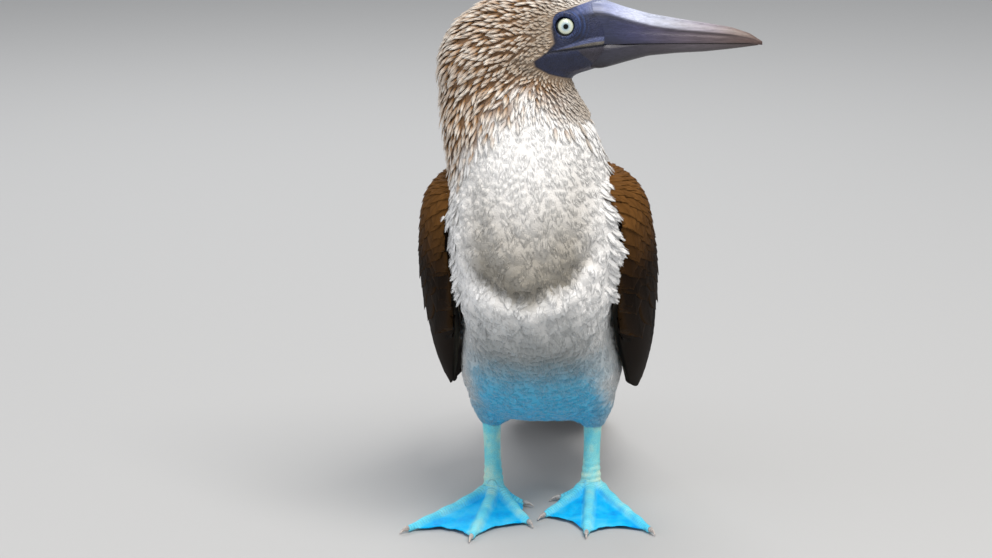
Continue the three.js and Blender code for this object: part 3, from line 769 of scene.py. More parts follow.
# Joins many vanes, each a run of closed sections, into pieces that stay under the export's limit
def addVanes(name, sections, colours, vane, patches, material, smooth=True, limit=190000):
    count, rings, sides = sections.shape[:3]
    faces = []
    for k in range(rings - 1):
        for m in range(sides):
            a, b = k * sides + m, k * sides + (m + 1) % sides
            c, d = a + sides, b + sides
            faces += [(a, b, d), (a, d, c)]
    for m in range(1, sides - 1):
        faces += [(0, m + 1, m), tuple((rings - 1) * sides + i for i in (0, m, m + 1))]
    faces = np.array(faces)
    one = sections[0].reshape(-1, 3)
    corners = one[faces] - one.mean(0)
    if (np.cross(corners[:, 0], corners[:, 1]) * corners[:, 2]).sum() < 0:
        faces = faces[:, ::-1]
    most = limit // len(faces)
    parts = max(1, math.ceil(count / most))
    for number, chosen in enumerate(np.array_split(np.arange(count), parts)):
        label = name if parts == 1 else f"{name}_{number + 1}"
        size = rings * sides
        points = sections[chosen].reshape(-1, 3)
        allFaces = (faces[None] + np.arange(len(chosen))[:, None, None] * size).reshape(-1, 3)
        mesh = meshFrom(label, points, allFaces)
        setColours(mesh, "plumage", colours[chosen].reshape(-1, 3))
        setVectors(mesh, "vane", vane[chosen].reshape(-1, 3))
        layer = mesh.uv_layers.new(name="OFBake")
        spots = patches[chosen].reshape(-1, 2)[allFaces.ravel()]
        layer.data.foreach_set("uv", spots.astype(np.float32).ravel())
        addPiece(label, mesh, material, smooth)
    print(name, count, "vanes", count * len(faces), "triangles")


# Feather roots spread evenly over the skin, spacing(points) apart
def scatterRoots(random, wanted, spacing, allowed):
    usable = np.where(allowed(skinPoints[skinCorners].mean(1)))[0]
    gaps = spacing(skinPoints[skinCorners[usable]].mean(1))
    weight = faceAreas[usable] / gaps**2
    picks = random.choice(usable, size=wanted, p=weight / weight.sum())
    a, b = random.random((2, wanted))
    over = a + b > 1
    a[over], b[over] = 1 - a[over], 1 - b[over]
    first, second, third = skinPoints[skinCorners[picks]].transpose(1, 0, 2)
    points = first + (second - first) * a[:, None] + (third - first) * b[:, None]
    keepOut = spacing(points)
    cell = keepOut.max()
    kept, grid = [], {}
    steps = [(dx, dy, dz) for dx in (-1, 0, 1) for dy in (-1, 0, 1) for dz in (-1, 0, 1)]
    for i, (point, gap) in enumerate(zip(points.tolist(), keepOut.tolist())):
        key = (int(point[0] // cell), int(point[1] // cell), int(point[2] // cell))
        near = (grid.get((key[0] + dx, key[1] + dy, key[2] + dz), ()) for dx, dy, dz in steps)
        apart = (sum((p - q) ** 2 for p, q in zip(point, other)) for others in near for other in others)
        if all(square >= gap * gap for square in apart):
            kept.append(i)
            grid.setdefault(key, []).append(point)
    return points[kept]


# Middle lines of feathers that start at the roots and follow the lie of the coat over the skin
def layLines(random, roots, lengths, rings, clump, pull, scatter):
    count = len(roots)
    places = np.zeros((count, rings, 3))
    normals = np.zeros((count, rings, 3))
    ahead = np.zeros((count, rings, 3))
    turn = random.normal(0, scatter, count)[:, None]
    here = roots
    for k in range(rings):
        places[:, k], normals[:, k] = nearestOnSkin(here)
        lie = coatLie(places[:, k])
        lie = unit(lie - normals[:, k] * (lie * normals[:, k]).sum(1, keepdims=True))
        side = np.cross(normals[:, k], lie)
        ahead[:, k] = lie * np.cos(turn) + side * np.sin(turn)
        here = places[:, k] + ahead[:, k] * (lengths / (rings - 1))[:, None]
    # tips draw together in clumps
    taken = KDTree(count)
    for i, root in enumerate(roots):
        taken.insert(root, i)
    taken.balance()
    free = np.ones(count, bool)
    owner = np.zeros(count, int)
    for i in random.permutation(count):
        if free[i]:
            for _, j, _ in taken.find_range(roots[i], clump):
                if free[j]:
                    free[j] = False
                    owner[j] = i
    towards = roots[owner] - roots
    towards = towards - ahead[:, 0] * (towards * ahead[:, 0]).sum(1, keepdims=True)
    share = np.linspace(0, 1, rings)[None, :, None] ** 1.5
    places = places + towards[:, None, :] * share * pull
    return places, normals, ahead, owner


coatStyle = {
    "hackles": {"face": 1.6, "neck": 3.05, "length": (4.2, 10.0), "width": 0.43, "lift": 2.6, "strands": 2},
    "down": {"spacing": 3.0, "length": 10.5, "width": 2.4, "lift": 0.25, "strands": 10},
    "fringe": {"spacing": 2.6, "length": 11, "width": 1.9, "lift": 3.6, "strands": 7, "reach": 12},
    "mantle": {"spacing": 6.0, "length": 19, "width": 5.4, "lift": 2.2},
}
random = np.random.default_rng(41)


# Each feather's own small patch of the bake, at its root's place
def patchesAt(roots, rings, sides):
    base = unwrapped(roots)
    reach = 0.0015
    along, across = np.linspace(-reach, reach, rings), np.linspace(-reach, reach, sides)
    grid = np.stack(np.meshgrid(along, across, indexing="ij"), -1)
    return base[:, None, None, :] + grid[None]


# Sets a section round each ring of each middle line
def sectionsOn(places, normals, ahead, halves, lifts, thick, outline):
    side = unit(np.cross(ahead, normals))
    across = np.array([a for a, _ in outline])
    height = np.array([h for _, h in outline])
    points = places[:, :, None, :] + side[:, :, None, :] * (halves[..., None] * across)[..., None]
    up = lifts[..., None] + thick[..., None] * height
    return points + normals[:, :, None, :] * up[..., None]


roofSection = [(-1, 0), (0, 1), (1, 0)]
leafSection = [(-1, -0.3), (-0.5, 0.55), (0.5, 0.55), (1, -0.3), (0, -0.2)]


# Loose barb ends that fray from a feather's tip
def addStrands(name, random, lines, halves, lifts, lengths, strands, colours, material, roots):
    places, normals, ahead = lines
    count = len(places)
    side = unit(np.cross(ahead, normals))
    spread = np.linspace(-0.9, 0.9, strands)[None] + random.normal(0, 0.12, (count, strands))
    middle = places.shape[1] // 2
    width = halves.max(1)[:, None, None]
    start = places[:, None, middle] + side[:, None, middle] * spread[..., None] * width * 0.85
    start = start + normals[:, None, middle] * (lifts[:, None, middle] + 0.1)[..., None]
    reach = (random.uniform(-0.25, 0.25, (count, strands)) - 0.35 * np.abs(spread)) * lengths[:, None] * 0.5
    end = places[:, None, -1] + ahead[:, None, -1] * reach[..., None]
    end = end + side[:, None, -1] * spread[..., None] * width * random.uniform(0.7, 1.2, (count, strands, 1))
    raised = lifts[:, None, -1] + random.uniform(-0.1, 0.5, (count, strands))
    end = end + normals[:, None, -1] * raised[..., None]
    runs = np.stack([start, end], 2).reshape(-1, 2, 3)
    runSide = np.repeat(side[:, None, -1], strands, 1).reshape(-1, 1, 1, 3)
    runUp = np.repeat(normals[:, None, -1], strands, 1).reshape(-1, 1, 1, 3)
    thickness = np.array([0.28, 0.05])[None, :, None, None]
    across = np.array([-1.0, 0.0, 1.0])[None, None, :, None]
    height = np.array([0.0, 0.6, 0.0])[None, None, :, None]
    sections = runs[:, :, None, :] + runSide * thickness * across + runUp * thickness * height
    tones = [np.repeat(tone, strands, 0) for tone in colours]
    painted = featherColours(*tones, np.array([0.5, 1.0]), sections.shape)
    vane = np.zeros(sections.shape)
    vane[..., 2] = random.uniform(0, 50, (len(sections), 1, 1))
    patches = patchesAt(np.repeat(roots, strands, 0), 2, 3)
    addVanes(name, sections, painted, vane, patches, material)


# Lays one kind of feather from its roots, with frayed strands where the kind has them
def addFeathers(name, random, roots, look, colours, material):
    count, rings = len(roots), len(look["profile"])
    lines = look.get("lines") or layLines(
        random, roots, look["lengths"], rings, look["clump"], look["pull"], look["scatter"]
    )
    places, normals, ahead, owner = lines
    share = np.linspace(0, 1, rings)
    halves = look["widths"][:, None] * np.array(look["profile"])
    ofClump = np.random.default_rng(5).random(count)[owner] - 0.5
    lift = look["lifts"] * random.uniform(0.78, 1.25, count) * (1 + look["uneven"] * ofClump)
    lifts = -0.4 + (lift[:, None] + 0.4) * share**0.9
    thick = look["thick"] + look.get("swell", 0) * halves
    sections = sectionsOn(places, normals, ahead, halves, lifts, thick, look["section"])
    across = np.array([a for a, _ in look["section"]])
    painted = featherColours(*colours, share, sections.shape)
    if "fringe" in look:
        tipShare = look["fringe"][:, None, None, None] * smoothRise(share, 0.8, 1.0)[None, :, None, None]
        painted = blend(painted, tones["mantleFringe"], tipShare)
    vane = np.zeros(sections.shape)
    vane[..., 0] = halves[..., None] * across
    vane[..., 1] = look["lengths"][:, None, None] * share[None, :, None]
    vane[..., 2] = random.uniform(0, 50, (count, 1, 1))
    patches = patchesAt(roots, rings, len(across))
    addVanes(name, sections, painted, vane, patches, material, look.get("smooth", True))
    if look.get("strands"):
        addStrands(
            f"{name}_barbs", random, lines[:3], halves, lifts, look["lengths"], look["strands"], colours,
            material, roots,
        )
    print(name, "done")


# Hackles of the head and neck: narrow and pointed, small by the face
style = coatStyle["hackles"]


def hackleEnd(points):
    behind = smoothRise(backShare(points), -0.15, 0.3)
    return blend(whiteFrom(points) - 8 - 0.4 * np.maximum(points[:, 0], 0), 206, behind)


def hackleZone(points):
    return (points[:, 2] > hackleEnd(points)) & (faceDepth(points) < 0.3)


def farFromFace(points):
    return smoothRise(-faceDepth(points), 0, 42)


def hackleGap(points):
    return blend(coatStyle["hackles"]["face"], coatStyle["hackles"]["neck"], farFromFace(points))


roots = scatterRoots(random, 26000, hackleGap, hackleZone)
gap = hackleGap(roots)
tint = random.normal(1, 0.06, (len(roots), 1))
strayed = roots + random.normal(0, 4, roots.shape) * smoothRise(-faceDepth(roots), 4, 30)[:, None]
root, middle, tip, streaked, _ = coatMarkings(strayed)
warm = random.random((len(roots), 1)) ** 2 * streaked[:, None]
tip = blend(tip, middle, 0.5 * warm) * tint
root = root * blend(1.0, 0.75, random.random((len(roots), 1)))
addFeathers(
    "hackles",
    random,
    roots,
    {
        "lengths": blend(*style["length"], farFromFace(roots)) * random.uniform(0.8, 1.2, len(roots)),
        "profile": [0.7, 1.0, 1.0, 0.72, 0.12],
        "widths": style["width"] * gap * random.uniform(0.8, 1.15, len(roots)),
        "lifts": blend(0.9, style["lift"], smoothRise(-faceDepth(roots), 1, 16)) * blend(0.4, 1.0, streaked),
        "uneven": 0.5,
        "thick": 0,
        "swell": 0.55,
        "section": roofSection,
        "clump": 5.0,
        "pull": 0.16,
        "scatter": 0.16,
        "strands": style["strands"],
    },
    (root, middle, tip),
    hackleFeathers,
)

# Down of the breast, belly and flanks: broad soft feathers under a haze of frayed barbs

style = coatStyle["down"]


def downZone(points):
    low, high = 50, 290
    inside = (points[:, 2] > low) & (points[:, 2] < high) & (faceDepth(points) < 0)
    return inside & ~hackleZone(points) & (backShare(points) < 0.5)


# The down is finer on the chest and on the lower belly
def downGap(points):
    height = points[:, 2]
    share = 1.1 - 0.26 * smoothRise(height, 195, 240) - 0.2 * smoothRise(height, 110, 70)
    return coatStyle["down"]["spacing"] * share


roots = scatterRoots(random, 34000, downGap, downZone)
size = downGap(roots) / style["spacing"]
tint = random.normal(1, 0.012, (len(roots), 1))
lengths = style["length"] * size * random.uniform(0.8, 1.2, len(roots))
lines = layLines(random, roots, lengths, 5, 6.5, 0.3, 0.25)
root, middle, tip = (coatMarkings(lines[0][:, ring])[part] for part, ring in ((0, 0), (1, 2), (2, 4)))
addFeathers(
    "down",
    random,
    roots,
    {
        "lines": lines,
        "lengths": lengths,
        "profile": [0.55, 0.95, 0.95, 0.68, 0.2],
        "widths": style["width"] * size * random.uniform(0.8, 1.15, len(roots)),
        "lifts": style["lift"] * np.ones(len(roots)),
        "uneven": 0.25,
        "thick": 0.14,
        "section": leafSection,
        "smooth": False,  # flat faces keep each thin vane from shading like a thick leaf
        "strands": style["strands"],
    },
    (root * tint, middle * tint, tip * tint),
    softFeathers,
)

# Fringe: long loose flank feathers that fall over the front of each wing

wingPlan = {
    "leading": [
        (51, -104, 228), (54, -99, 200), (51, -84, 164), (52, -54, 126), (57, -8, 86), (56, 46, 62),
        (42, 110, 60), (28, 180, 44), (17, 246, 19),
    ],
    "upper": [
        (44, -76, 242), (40, -44, 232), (33, -12, 210), (26, 22, 180), (20, 54, 150), (17, 92, 122),
        (16, 134, 96), (15, 188, 65), (14, 252, 37),
    ],
    "bulge": [8, 21, 30, 33, 30, 22, 11, 5, 1],
    "thickness": [10, 20, 26, 25, 20, 14, 9, 5, 2.5],
    "tuck": 14,
    "coreEnd": 0.86,
    "length": 400,
}
style = coatStyle["fringe"]
frontEdge = np.concatenate(
    [
        through(wingPlan["upper"], np.linspace(0.14, 0, 8)),
        through(wingPlan["leading"], np.linspace(0, 0.4, 24)),
    ]
)
topEdge = through(wingPlan["upper"], np.linspace(0.06, 0.62, 40))


def nearEdge(points, edge):
    onLeft = points.copy()
    onLeft[:, 0] = np.abs(onLeft[:, 0])
    return np.sqrt(((onLeft[:, None] - edge[None]) ** 2).sum(2)).min(1)


def outwardLines(random, roots, lengths, rings, outward):
    places, normals, ahead, owner = layLines(random, roots, lengths, rings, 7, 0.3, 0.2)
    across = np.sign(roots[:, :1]) * np.array([1.0, 0, 0])
    across = unit(across - normals[:, 0] * (across * normals[:, 0]).sum(1, keepdims=True))
    lie = unit(ahead[:, 0] + outward * across)
    share = np.linspace(0, 1, rings)
    places = roots[:, None] + lie[:, None] * (lengths[:, None] * share)[..., None]
    return places, np.repeat(normals[:, :1], rings, 1), np.repeat(lie[:, None], rings, 1), owner


def fringeZone(points):
    byWing = nearEdge(points, frontEdge) < coatStyle["fringe"]["reach"]
    return byWing & (backShare(points) < 0.3) & (points[:, 2] > 158)


# The current style's spacing, the same everywhere
def evenGap(points):
    return style["spacing"] * np.ones(len(points))


roots = scatterRoots(random, 5000, evenGap, fringeZone)
lengths = style["length"] * random.uniform(0.65, 1.15, len(roots))
root, middle, tip, _, _ = coatMarkings(roots)
addFeathers(
    "fringe",
    random,
    roots,
    {
        "lines": outwardLines(random, roots, lengths, 5, np.where(roots[:, :1] < 0, 0.05, 0.5)),
        "lengths": lengths,
        "profile": [0.55, 0.95, 1.0, 0.75, 0.2],
        "widths": style["width"] * random.uniform(0.8, 1.15, len(roots)),
        "lifts": style["lift"] * random.uniform(0.4, 1.0, len(roots)) * np.where(roots[:, 0] < 0, 0.6, 1.0),
        "uneven": 0.4,
        "thick": 0.3,
        "section": leafSection,
        "strands": style["strands"],
    },
    (root, middle, tip),
    softFeathers,
)

# Mantle: the brown shingled feathers of the back, and the scapulars along the top of each wing

style = coatStyle["mantle"]


def mantleZone(points):
    return (points[:, 2] < 250) & (backShare(points) > 0.12) & (points[:, 2] > 60)


def scapularZone(points):
    return (nearEdge(points, topEdge) < 13) & (backShare(points) > 0.15)


for name, zone, outward, scale in (("mantle", mantleZone, 0.0, 1.0), ("scapulars", scapularZone, 0.45, 1.45)):
    roots = scatterRoots(random, 5000, evenGap, zone)
    lengths = scale * style["length"] * random.uniform(0.85, 1.15, len(roots))
    root, middle, tip, _, brown = coatMarkings(roots)
    tint = random.normal(1, 0.1, (len(roots), 1))
    look = {
        "lengths": lengths,
        "profile": [0.55, 0.9, 1.0, 0.98, 0.86, 0.6, 0.18],
        "widths": style["width"] * random.uniform(0.85, 1.1, len(roots)),
        "lifts": style["lift"] * scale**2 * np.ones(len(roots)),
        "uneven": 0.2,
        "thick": 0.45,
        "section": leafSection,
        "clump": 4,
        "pull": 0.1,
        "scatter": 0.1,
        "fringe": 0.7 * brown * (random.random(len(roots)) < 0.5),
    }
    if outward:
        look["lines"] = outwardLines(random, roots, lengths, 7, outward)
    colours = (root * tint, middle * tint, tip * tint)
    addFeathers(name, random, roots, look, colours, covertFeathers)

# Wings: a curved face between the leading edge and the upper edge, clad in tiers of feathers

def wingPoint(u, v):
    s = np.clip(u, 0, 1)
    low = through(wingPlan["leading"], s)
    chord = through(wingPlan["upper"], s) - low
    before, after = (through(wingPlan["leading"], np.clip(s + step, 0, 1)) for step in (-0.01, 0.01))
    run = after - before
    out = unit(np.cross(run, chord))
    out = out * np.where(out[..., :1] < 0, -1, 1)
    swell = np.sin(math.pi * np.clip(v, 0, 1) ** 0.85) ** 0.75
    tuck = wingPlan["tuck"] * (1 - np.clip(u / 0.09, 0, 1)) ** 2
    point = low + chord * v[..., None] + out * (through(wingPlan["bulge"], s) * swell - tuck)[..., None]
    return point + unit(run) * (np.maximum(u - 1, 0) * wingPlan["length"])[..., None]


def wingFace(u, v):
    inU = np.clip(u, 0.006, 0.994)
    inV = np.clip(v, 0.06, 0.94)
    alongU = wingPoint(inU + 0.005, inV) - wingPoint(inU - 0.005, inV)
    alongV = wingPoint(inU, inV + 0.005) - wingPoint(inU, inV - 0.005)
    out = unit(np.cross(alongU, alongV))
    return wingPoint(u, v), out * np.where(out[..., :1] < 0, -1, 1)


def wingChord(u):
    return np.linalg.norm(wingPoint(u, np.ones_like(u)) - wingPoint(u, np.zeros_like(u)), axis=-1)


vaneSection = np.array(
    [(-1, 0), (-0.72, 0.5), (-0.36, 0.8), (-0.06, 1.0), (0, 1.5), (0.06, 1.0), (0.36, 0.8), (0.72, 0.5),
     (1, 0), (0.5, -0.35), (0, -0.6), (-0.5, -0.35)]
)


# Feathers laid in a face's own coordinates; each plan gives root, tip, width, heights and shape
def vanesOnFace(face, chordAt, plans, rings):
    share = 1 - (1 - np.linspace(0, 1, rings)) ** 1.35
    sections, vane = [], []
    for plan in plans:
        outline = np.minimum(1, 0.62 + share * 1.5)
        taper = np.where(share < 0.5, 1, 1 - np.clip((share - 0.5) / 0.5, 0, 1) ** plan["point"])
        half = plan["width"] / 2 * np.maximum(outline * taper, 0.04)
        u = blend(plan["root"][0], plan["tip"][0], share)
        v = blend(plan["root"][1], plan["tip"][1], share)
        across = vaneSection[:, 0]
        sideways = half[:, None] * across[None]
        uGrid = np.repeat(u[:, None], len(across), 1)
        curl = 0.02 * (1 - across[None] ** 2) * share[:, None] ** 4 * 0.3
        vGrid = v[:, None] + sideways / chordAt(u)[:, None]
        at, out = face(uGrid + curl, vGrid)
        lean = sideways * math.tan(math.radians(plan.get("roll", 0)))
        height = blend(plan["from"], plan["to"], share)[:, None] + lean
        height = height + vaneSection[:, 1][None] * plan.get("thick", 0.35)
        sections.append(at + out * height[..., None])
        length = abs(plan["tip"][0] - plan["root"][0]) * wingPlan["length"]
        onward = np.repeat((share * length)[:, None], len(across), 1)
        vane.append(np.stack([sideways, onward, 0 * sideways], -1))
    return np.array(sections), np.array(vane)


wingColours = {
    "covert": "#6a4722",
    "covertDark": "#180e06",
    "covertEdge": "#8a6234",
    "flight": "#0c0704",
    "flightEdge": "#3a2817",
    "under": "#a39683",
}
wingTones = {name: linear(code) for name, code in wingColours.items()}


def wingPlans(random):
    small, long = [], []
    rows = 15
    for row in range(rows):
        start = blend(-0.02, 0.24, row / (rows - 1))
        count = int(round(blend(9, 14, row / (rows - 1))))
        for i in range(count):
            v = blend(0.02, 0.975, (i + (0.7 if row % 2 else 0.3)) / count) + random.normal(0, 0.006)
            u = start + random.normal(0, 0.003)
            size = float(wingChord(np.array([max(u, 0.0)]))[0]) / count
            small.append(
                {"root": (u, v), "tip": (u + 0.062, v + 0.003), "width": size * 1.8, "from": -1.4,
                 "to": 0.85 + random.normal(0, 0.1), "roll": -2, "point": 2.4, "thick": 0.2,
                 "age": float(smoothRise(u, 0.02, 0.22))}
            )
    for tier, (start, end, count) in enumerate([(0.22, 0.335, 12), (0.27, 0.41, 12)]):
        for i in range(count):
            v = blend(0.02, 0.96, (i + 0.4 + 0.2 * tier) / count)
            size = float(wingChord(np.array([start + 0.05]))[0]) / count
            small.append(
                {"root": (start, v), "tip": (end + random.normal(0, 0.004), v), "width": size * 1.8,
                 "from": -1.2, "to": 1.2, "roll": -2, "point": 2.4, "thick": 0.22, "age": 1.0}
            )
    secondaries = 12
    for i in range(secondaries):
        share = i / (secondaries - 1)
        root, tip = (0.31, blend(0.44, 0.95, share)), (blend(0.62, 0.72, share), blend(0.54, 0.9, share))
        long.append(
            {"root": root, "tip": tip, "width": 13, "from": -1.6 + 0.2 * (i % 2), "to": 2.4 + 0.7 * (i % 2),
             "roll": -4, "point": 2.4, "age": 0.8}
        )
    primaries = 10
    for i in range(primaries):
        share = i / (primaries - 1)
        height = 0.12 * i
        root, tip = (0.33, blend(0.0, 0.4, share)), (blend(1.0, 0.74, share), blend(0.5, 0.54, share))
        long.append(
            {"root": root, "tip": tip, "width": blend(12, 16, share), "from": height - 1.5,
             "to": height + 0.5, "point": 1.6, "age": 1.0}
        )
    return small, long


def vaneColours(plans, sections, base, dark, edge, random):
    count, rings, sides = sections.shape[:3]
    share = np.linspace(0, 1, rings)[None, :, None, None]
    age = np.array([plan["age"] for plan in plans])[:, None, None, None]
    rim = np.abs(vaneSection[:, 0])[None, None, :, None] ** 6
    colour = blend(base, dark, age) * random.normal(1, 0.09, (count, 1, 1, 1))
    shaft = np.exp(-((vaneSection[:, 0] / 0.08) ** 2))[None, None, :, None]
    colour = blend(colour, colour * 0.6, shaft * 0.6)
    colour = blend(colour, edge * blend(1.0, 0.5, age), 0.35 * np.maximum(rim, smoothRise(share, 0.86, 1.0)))
    return np.clip(np.broadcast_to(colour, sections.shape), 0, 1)


# Each vane has its own strip of the bake, side by side
def stripPatches(count, rings, sides):
    columns = math.ceil(math.sqrt(count * 3))
    rows = math.ceil(count / columns)
    u, v = np.meshgrid(np.linspace(0, 0.92, sides), np.linspace(0, 0.94, rings))
    grid = np.stack([u, v], -1)
    corner = np.stack([(np.arange(count) % columns) / columns, (np.arange(count) // columns) / rows], 1)
    return corner[:, None, None] + grid[None] * np.array([1 / columns, 1 / rows])


def wingCore(side):
    def place(u, v):
        # round the section: over the outer face and back under it
        outer = u < 0.5
        across = np.where(outer, u * 2, 2 - u * 2)
        share = v * wingPlan["coreEnd"]
        across = blend(across, 0.5 + (across - 0.5) * 0.4, smoothRise(v, 0.6, 1.0))
        at, out = wingFace(share, across)
        rim = np.sin(math.pi * np.clip(across, 0.02, 0.98)) ** 0.7
        thick = through(wingPlan["thickness"], v) * rim + 1.2
        point = at - out * np.where(outer, 0.5, thick)[:, None]
        return point * np.array([side, 1, 1])

    return place


for side, name in ((1, "left"), (-1, "right")):
    random = np.random.default_rng(70 + side)
    coreMesh = bentMesh(f"wing_core_{name}", (wingCore(side), 40, 60))
    corePoints = drawnPoints(coreMesh)
    inner = smoothRise(normalsOf(coreMesh)[:, 0] * side, 0.1, -0.5)
    speckle = np.array([noise.noise(Vector(p) * 0.16) for p in corePoints])
    band = smoothRise(corePoints[:, 2], 88, 108) * smoothRise(corePoints[:, 2], 165, 145)
    pale = inner * band * smoothRise(speckle, -0.25, 0.25)
    setColours(coreMesh, "plumage", blend(wingTones["covertDark"], wingTones["under"], pale[:, None]))
    setVectors(coreMesh, "vane", corePoints)
    core = addPiece(f"wing_core_{name}", coreMesh, covertFeathers)
    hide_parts(f"wing_{name}")
    small, long = wingPlans(random)
    for label, plans, rings, dark, edge, material in (
        ("coverts", small, 10, "covertDark", "covertEdge", covertFeathers),
        ("flights", long, 26, "flight", "flightEdge", flightFeathers),
    ):
        sections, vane = vanesOnFace(wingFace, wingChord, plans, rings)
        vane[..., 2] = np.arange(len(plans))[:, None, None] * 7.3
        colours = vaneColours(plans, sections, wingTones["covert"], wingTones[dark], wingTones[edge], random)
        sections = sections * np.array([side, 1, 1])
        patches = stripPatches(len(plans), rings, len(vaneSection))
        addVanes(f"wing_{label}_{name}", sections, colours, vane, patches, material)
print("wings done")

# Tail: a graded fan, its middle feathers on top

tailPlan = {
    "base": (0, 86, 74), "drop": 20.8, "length": 188, "fan": 8, "rootHalf": 16, "arch": 0.004, "pairs": 6
}
tailDrop = math.radians(tailPlan["drop"])
tailForward = np.array([0, math.cos(tailDrop), -math.sin(tailDrop)])
tailUp = np.array([0, math.sin(tailDrop), math.cos(tailDrop)])


def tailFace(u, v):
    fan = np.radians(blend(-tailPlan["fan"], tailPlan["fan"], v))
    reach = u * tailPlan["length"]
    across = np.sin(fan) * reach + blend(-tailPlan["rootHalf"], tailPlan["rootHalf"], v)
    at = np.array(tailPlan["base"]) + tailForward * (np.cos(fan) * reach)[..., None]
    at = at - tailUp * (tailPlan["arch"] * across**2)[..., None] + np.array([1.0, 0, 0]) * across[..., None]
    return at, np.broadcast_to(tailUp, at.shape)


def tailChord(u):
    return 2 * (tailPlan["rootHalf"] + np.sin(math.radians(tailPlan["fan"])) * u * tailPlan["length"])


random = np.random.default_rng(90)
long, short = [], []
for i in range(2 * tailPlan["pairs"]):
    share = (i // 2) / (tailPlan["pairs"] - 1)
    v = 0.5 + (1 if i % 2 else -1) * blend(0.06, 0.5, share)
    height = 2 - i * 1.15
    long.append(
        {"root": (0.08, v), "tip": (blend(1.0, 0.72, share), v), "width": blend(24, 19, share),
         "from": height, "to": height, "point": 1.6, "age": blend(0.5, 1.0, share)}
    )
rootRings = {
    "reach": [0, 18, 36, 52], "half": [22, 20, 18, 14], "high": [14, 10, 6, 2], "low": [18, 14, 10, 7]
}
covertTiers = [(0.18, 0.42, 6), (0.08, 0.34, 6), (-0.04, 0.24, 5), (-0.16, 0.14, 5)]
for face in (1, -1):
    for tier, (start, end, count) in enumerate(covertTiers):
        for i in range(count):
            v = blend(0.02, 0.98, (i + 0.5) / count)
            crown = math.sqrt(1 - (1.7 * (v - 0.5)) ** 2)
            reach = np.array([start, end]) * tailPlan["length"]
            high = np.interp(reach, rootRings["reach"], rootRings["high"])
            inside, outside = (high + (1.2, 2.4 + 0.5 * tier)) * crown
            if face < 0:
                outside = -10.6 - tier * 0.9
                inside = outside + 1.5
            short.append(
                {"root": (start, v), "tip": (end + random.normal(0, 0.008), v), "width": 14, "from": inside,
                 "to": outside, "point": 2.2, "age": 0.2 if face > 0 else -0.6}
            )
for label, plans, rings in (("feathers", long, 26), ("coverts", short, 10)):
    sections, vane = vanesOnFace(tailFace, tailChord, plans, rings)
    vane[..., 2] = np.arange(len(plans))[:, None, None] * 5.1
    base, dark, edge = (wingTones[key] for key in ("covert", "flight", "flightEdge"))
    colours = vaneColours(plans, sections, base, dark, edge, random)
    if label == "coverts":
        under = np.array([plan["age"] < 0 for plan in plans])[:, None, None, None]
        colours = np.where(under, tones["whiteTip"] * 0.8, colours)
    patches = stripPatches(len(plans), rings, len(vaneSection))
    addVanes(f"tail_{label}", sections, colours, vane, patches, flightFeathers)


def tailRootPoint(u, v):
    angle = u * 2 * math.pi
    reach = through(rootRings["reach"], v)[:, None]
    across = through(rootRings["half"], v) * np.cos(angle)
    tall = np.where(np.sin(angle) > 0, through(rootRings["high"], v), through(rootRings["low"], v))
    up = tall * np.sin(angle)
    point = np.array(tailPlan["base"]) + tailForward * reach + tailUp * up[:, None]
    return point + np.array([1.0, 0, 0]) * across[:, None]


rootMesh = bentMesh("tail_root", (tailRootPoint, 36, 24))
rootPoints = drawnPoints(rootMesh)
setColours(rootMesh, "plumage", np.repeat(wingTones["covertDark"][None], len(rootPoints), 0))
setVectors(rootMesh, "vane", rootPoints)
tailRoot = addPiece("tail_root", rootMesh, covertFeathers)
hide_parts("tail")
print("tail done")

# Bill: two horny halves with a ridge on top and long plates down the sides

def billPoint(upper):
    def place(u, v):
        share = blend(billPlan["share"][0], 1, v)
        edge = mouthLine(share)
        half = billValue("half", share)
        angle = u * 2 * math.pi
        power = blend(billPlan["baseSquare"], billPlan["square"], smoothRise(share, -0.02, 0.3))
        across = np.sign(np.cos(angle)) * np.abs(np.cos(angle)) ** (2 / power)
        rise = np.clip(np.sin(angle), 0, 1) ** (2 / power)
        height = np.clip(rise, 0, 1)
        if upper:
            tall = billValue("top", share) - edge - 0.15
            groove, plate = billPlan["groove"], billPlan["plate"]
            reach = smoothRise(share, 0.03, 0.12) * smoothRise(share, 0.86, 0.7)
            dip = groove["depth"] * np.exp(-(((height - groove["height"]) / groove["width"]) ** 2)) * reach
            dip = dip + plate["depth"] * np.exp(-(((height - plate["height"]) / plate["width"]) ** 2)) * reach
            half = half - dip * (height > 0.02)
            hook = 1.2 * smoothRise(share, 0.9, 1.0)
            z = edge + 0.15 + tall * height - hook * (1 - height)
            z = np.where(np.sin(angle) <= 0, edge + 0.15 - hook - 0.02, z)
        else:
            half = half * blend(0.84, 1.0, smoothRise(share, -0.1, 0.02))
            half = half * blend(1.0, billPlan["lowerNarrow"], smoothRise(share, 0, 0.15))
            deep = edge - 0.15 - billValue("bottom", share)
            z = edge - 0.15 - deep * height
            z = np.where(np.sin(angle) <= 0, edge - 0.15, z)
        reach = blend(headPlan["billRoot"], headPlan["billReach"], share)
        x = reach - (0 if upper else billPlan["lowerShort"]) * share
        return inHead(np.stack([x, half * across, z], 1))

    return place


# Horn of the bill: grown in long layers, hard with a satin gloss, darker and redder to the tip
billHorn, surface = newMaterial("Bill horn", {"IOR": 1.54, "Coat Weight": 0.15, "Coat Roughness": 0.3})
billPlace = addNode(billHorn, "Attribute", {"attribute_name": "billPlace"})
